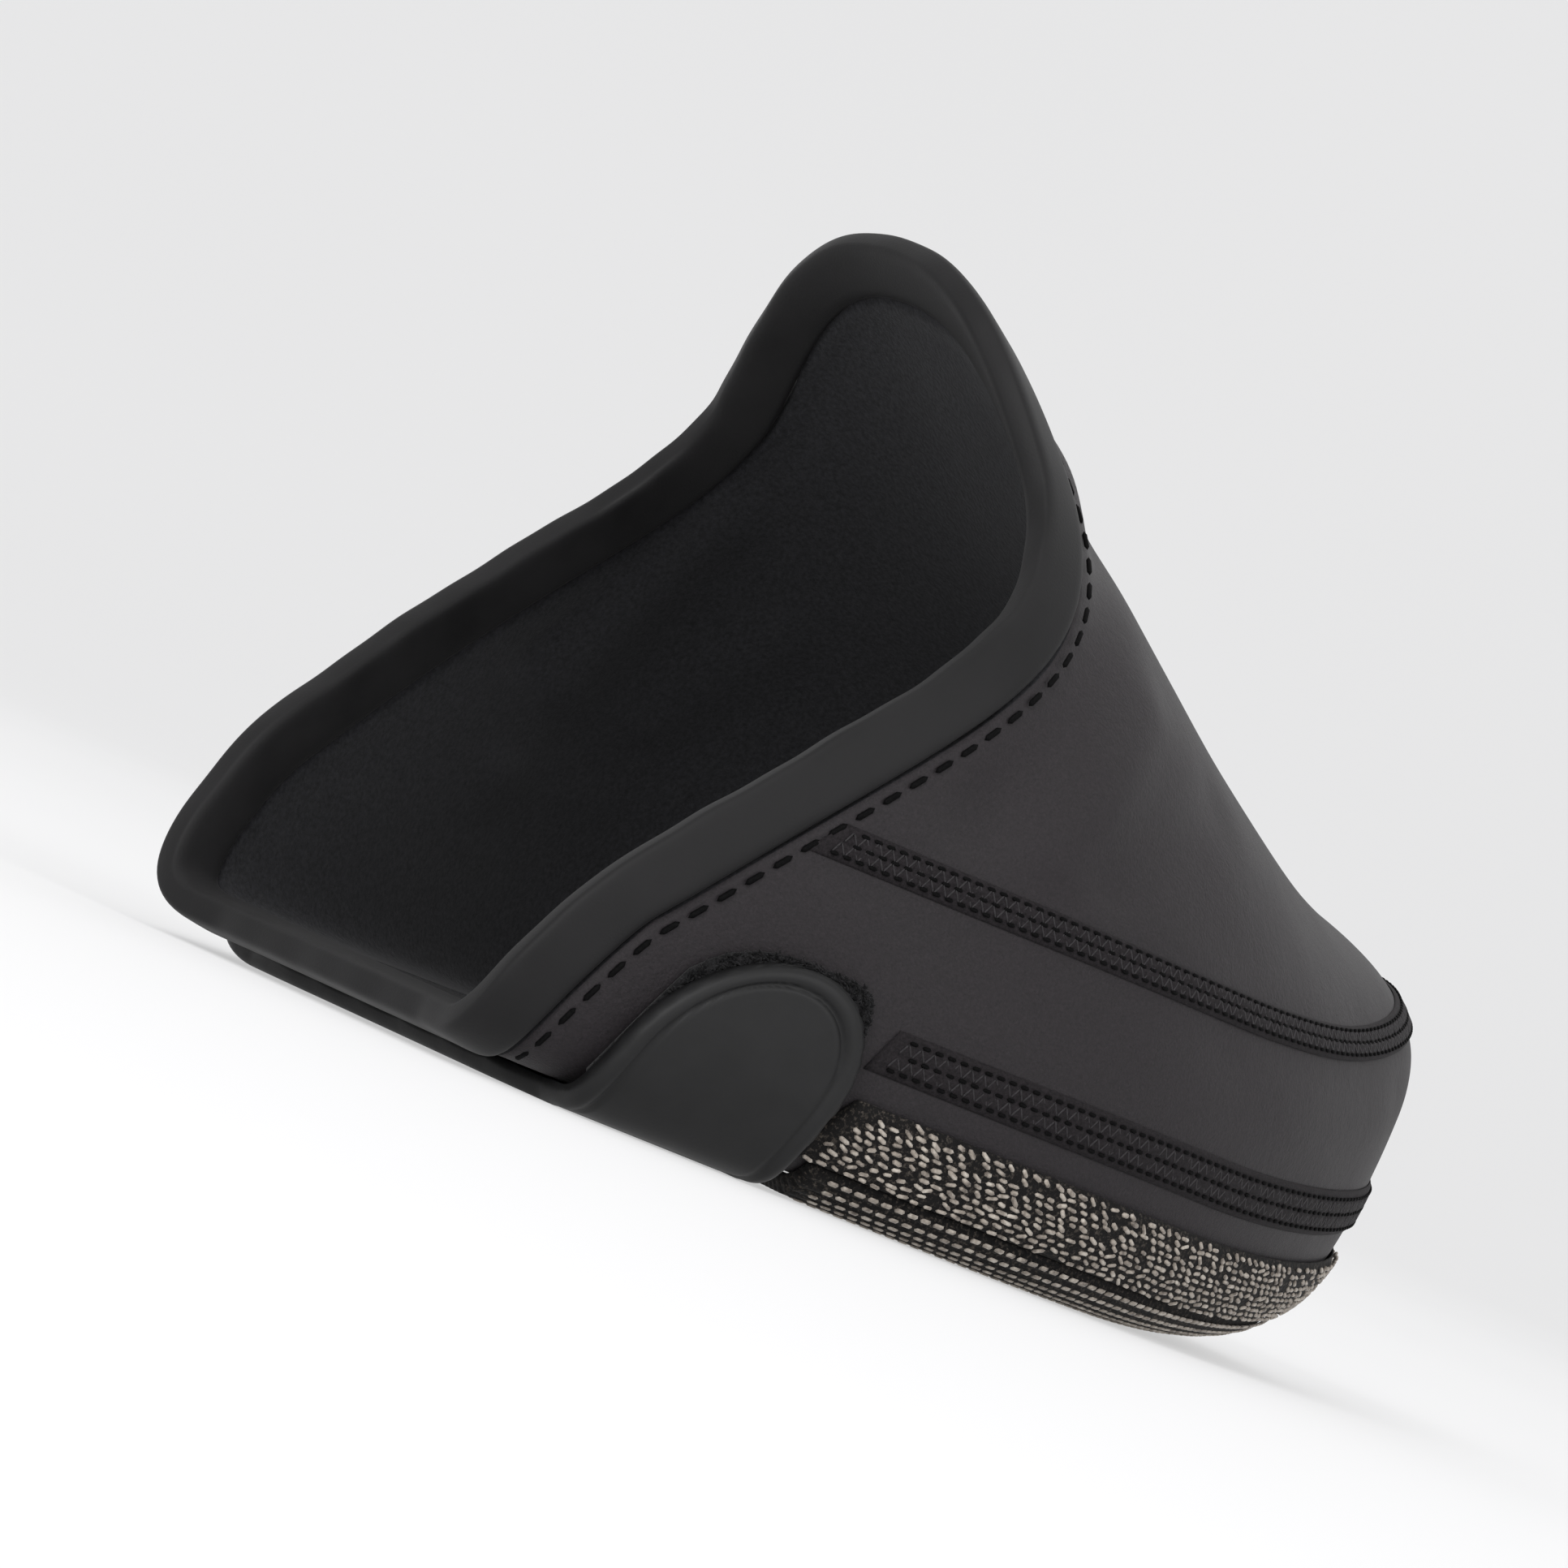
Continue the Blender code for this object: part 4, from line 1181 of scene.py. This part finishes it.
def patch_place(share, height):
    """Column and length of girth at shares of the patch's length and height."""
    rear, front = (column_at(-SPAN[end] * LENGTH) for end in ("patch_rear", "patch_front"))
    top = PATCH_TOP - PATCH_ROUND * np.abs(2 * share - 1) ** 4
    return -rear + (rear - front) * share, PATCH_BOTTOM + (top - PATCH_BOTTOM) * height


def loop_patch(finish):
    """Pile patch on the outer side, under the tab and a little larger."""
    columns, lengths = np.broadcast_arrays(
        *patch_place(np.linspace(0, 1, 61)[:, None], np.linspace(0, 1, 50)[None, :])
    )
    lumps = 0.10 * MM * np.sin(columns * 190) * np.sin(lengths / (0.55 * MM))
    upper = on_surface(columns, lengths, GAP + PATCH_THICKNESS - 0.1 * MM + lumps)
    lower = on_surface(columns, lengths, GAP)
    add_slab("loop_patch_base", lower, upper, finish, "loop_patch")

    # Small curled loops as beads that lie in all directions
    rng = np.random.RandomState(3)
    share, height = rng.uniform(0.01, 0.99, PILE_LOOPS), rng.uniform(0, 1, PILE_LOOPS)
    places = axes_at(*patch_place(share, height), GAP + PATCH_THICKNESS - 0.05 * MM)
    here, along, across, out = swung(places, rng.uniform(0, 360, PILE_LOOPS))
    tilt = np.radians(rng.uniform(-25, 40, PILE_LOOPS))[:, None]
    lean = along * np.cos(tilt) + out * np.sin(tilt)
    up = out * np.cos(tilt) - along * np.sin(tilt)
    half = rng.uniform(0.7, 1.2, PILE_LOOPS)[:, None] * PILE_HALF
    sizes = half * np.array([1.0, PILE_SLIM, PILE_SLIM])
    add_beads("loop_patch_pile", (here, lean, across, up), sizes, finish)


def arch_panel(finish):
    """Loop-faced panel under the arch, between the two lips, with a bowed front edge."""
    shares = np.linspace(1.0, SPAN["arch_front"], 60)
    angles = angle_at(-shares * LENGTH)
    outer, inner = body(-angles, -2.0), body(angles, -2.0)
    across = np.linspace(0, 1, 60)
    outer = outer + np.array([0, GAP, 0])
    inner = inner - np.array([0, GAP, 0])
    grid = outer[:, None, :] + (inner - outer)[:, None, :] * across[None, :, None]
    bow = ARCH_FRONT_BOW * 4 * across * (1 - across)
    front = np.linspace(0, 1, 60)[:, None] ** 3
    grid[..., 0] -= bow[None, :] * front
    edge = np.minimum(across, 1 - across)[None, :] * 60 * MM
    x_edge = np.minimum(shares.max() - shares, shares - shares.min())[:, None] * LENGTH
    soft = 0.5 * MM * (1 - smooth(np.minimum(edge, x_edge) / (1.2 * MM)))
    lumps = 0.06 * MM * np.sin(grid[..., 0] / (0.6 * MM)) * np.sin(grid[..., 1] / (0.7 * MM))
    lower, upper = grid.copy(), grid.copy()
    lower[..., 2] = BASE + soft + lumps + 0.08 * MM
    upper[..., 2] = BASE + WALL - soft - lumps
    add_slab("arch_panel_cloth", lower, upper, finish, "arch_panel")


# Room: a plain pale bowl, soft lights and the photograph's camera


FLOOR_RINGS = (0.0, 0.8, 1.6, 2.2)
WALL_ROUND = 1.2
WALL_ROUND_STEPS = 12
WALL_TOP = 2.6
ROOM_SIDES = 96
ROOM_GLOW = 0.50
WORLD_STRENGTH = 0.8
# Degrees from the view's azimuth, elevation, metres away, side in metres and power in watts
LAMPS = {
    "key": (-22, 30, 1.6, 0.6, 13.0),
    "fill": (40, 24, 1.7, 0.8, 7.0),
    "top": (160, 66, 1.6, 1.0, 4.0),
}


def room():
    """Pale floor that curves up into a wall on all sides."""
    made = Shading("backdrop", 0.9, specular=0.05)
    made.look("Emission Color", (1.0, 1.0, 1.0, 1.0))
    made.look("Emission Strength", ROOM_GLOW)
    stops = ((0.0, (0.33, 0.33, 0.335)), (1.0, (0.35, 0.35, 0.355)))
    tone = made.ramp(made.noise(400.0, 1.0), stops)
    made.look("Base Color", tone)
    radius = FLOOR_RINGS[-1]
    profile = [(ring, 0.0) for ring in FLOOR_RINGS]
    for k in range(1, WALL_ROUND_STEPS + 1):
        turn = k / WALL_ROUND_STEPS * SIDE_END
        profile.append((radius + WALL_ROUND * math.sin(turn), WALL_ROUND * (1 - math.cos(turn))))
    profile.append((radius + WALL_ROUND, WALL_TOP))
    turn = np.arange(ROOM_SIDES) / ROOM_SIDES * 2 * math.pi
    points = [
        (ring * math.cos(a), ring * math.sin(a), height) for ring, height in profile for a in turn
    ]
    faces = []
    for ring in range(len(profile) - 1):
        a, b = ring * ROOM_SIDES, (ring + 1) * ROOM_SIDES
        for k in range(ROOM_SIDES):
            n = (k + 1) % ROOM_SIDES
            # The innermost ring is one point
            face = (a, b + k, b + n) if ring == 0 else (a + k, b + k, b + n, a + n)
            faces.append(face)
    data = bpy.data.meshes.new("floor")
    data.from_pydata(points, [], faces)
    data.validate()
    data.shade_smooth()
    data.materials.append(made.material)
    linked("floor", data)


def toward(azimuth, elevation):
    """Direction from the object to a viewer or lamp, both angles in degrees."""
    a, e = math.radians(azimuth), math.radians(elevation)
    return Vector((math.sin(a) * math.cos(e), -math.cos(a) * math.cos(e), math.sin(e)))


def lights(target):
    """White surroundings and square soft lights round the object."""
    world = bpy.data.worlds.new("studio")
    world.use_nodes = True
    background = world.node_tree.nodes["Background"]
    background.inputs["Color"].default_value = (1.0, 1.0, 1.0, 1.0)
    background.inputs["Strength"].default_value = WORLD_STRENGTH
    bpy.context.scene.world = world
    bpy.context.scene.view_settings.view_transform = "Standard"
    for name, (azimuth, elevation, distance, size, power) in LAMPS.items():
        data = bpy.data.lights.new(name, "AREA")
        data.shape = "SQUARE"
        data.size = size
        data.energy = power
        placed = linked(name, data)
        away = toward(VIEW_AZIMUTH + azimuth, elevation)
        placed.location = target + away * distance
        placed.rotation_euler = away.to_track_quat("Z", "Y").to_euler()


def camera(points):
    """Camera at the photograph's angle, rolled, framing the cover in a square image."""
    azimuth, roll = math.radians(VIEW_AZIMUTH), math.radians(VIEW_ROLL)
    back = toward(VIEW_AZIMUTH, VIEW_ELEVATION)
    right = Vector((math.cos(azimuth), math.sin(azimuth), 0.0))
    up = back.cross(right)
    rolled_right = right * math.cos(roll) + up * math.sin(roll)
    rolled_up = up * math.cos(roll) - right * math.sin(roll)
    axes = np.array([rolled_right, rolled_up, back])
    target = points.mean(axis=0)
    for _ in range(4):
        seen = (points - target) @ axes.T
        image = seen[:, :2] / (VIEW_DISTANCE - seen[:, 2:3])
        low, high = image.min(axis=0), image.max(axis=0)
        target = target + ((low + high) / 2 * VIEW_DISTANCE) @ axes[:2]
    data = bpy.data.cameras.new("photo_camera")
    data.sensor_fit = "HORIZONTAL"
    data.angle = 2 * math.atan(float((high - low).max()) / 2 / VIEW_FILL)
    data.clip_start = 0.01
    placed = linked("photo_camera", data)
    turn = Matrix((rolled_right, rolled_up, back)).transposed().to_4x4()
    placed.matrix_world = Matrix.Translation(Vector(target) + back * VIEW_DISTANCE) @ turn
    bpy.context.scene.camera = placed
    return Vector(target)


def mesh_points(placed):
    """Points of a mesh object, as an array."""
    points = np.empty(len(placed.data.vertices) * 3)
    placed.data.vertices.foreach_get("co", points)
    return points.reshape(-1, 3)


def main():
    cloth, tan, dark_pile = (finish_named(name) for name in ("guard_cloth", "yarn", "pile"))
    # The first thread is painted near black to stand for the shade in the stitch holes
    threads = finish_named("hole_shade_thread"), finish_named("thread")
    seam = finish_named("seam_cloth")
    sleeve()
    toe_guard(cloth, tan)
    sole_rim(cloth, tan)
    middle = GUARD_TOP + GUARD_SEAM_RISE
    start, end = band_limits("seam_outer_end")
    flat_seam("guard_seam", middle, GUARD_SEAM_WIDTH, start, end, seam, threads)
    reach = SIDE_END - VAMP_END
    flat_seam("vamp_seam", VAMP_SEAM_RISE, VAMP_SEAM_WIDTH, -reach, reach, seam, threads)
    collar_hem(finish_named("hem_cloth"), threads[0])
    strap(finish_named("strap_face"))
    strap_stitches(threads[0])
    loop_patch(dark_pile)
    arch_panel(dark_pile)
    room()
    shown = [one for one in bpy.data.objects if one.name in FRAMED]
    lights(camera(np.concatenate([mesh_points(one) for one in shown])))


main()
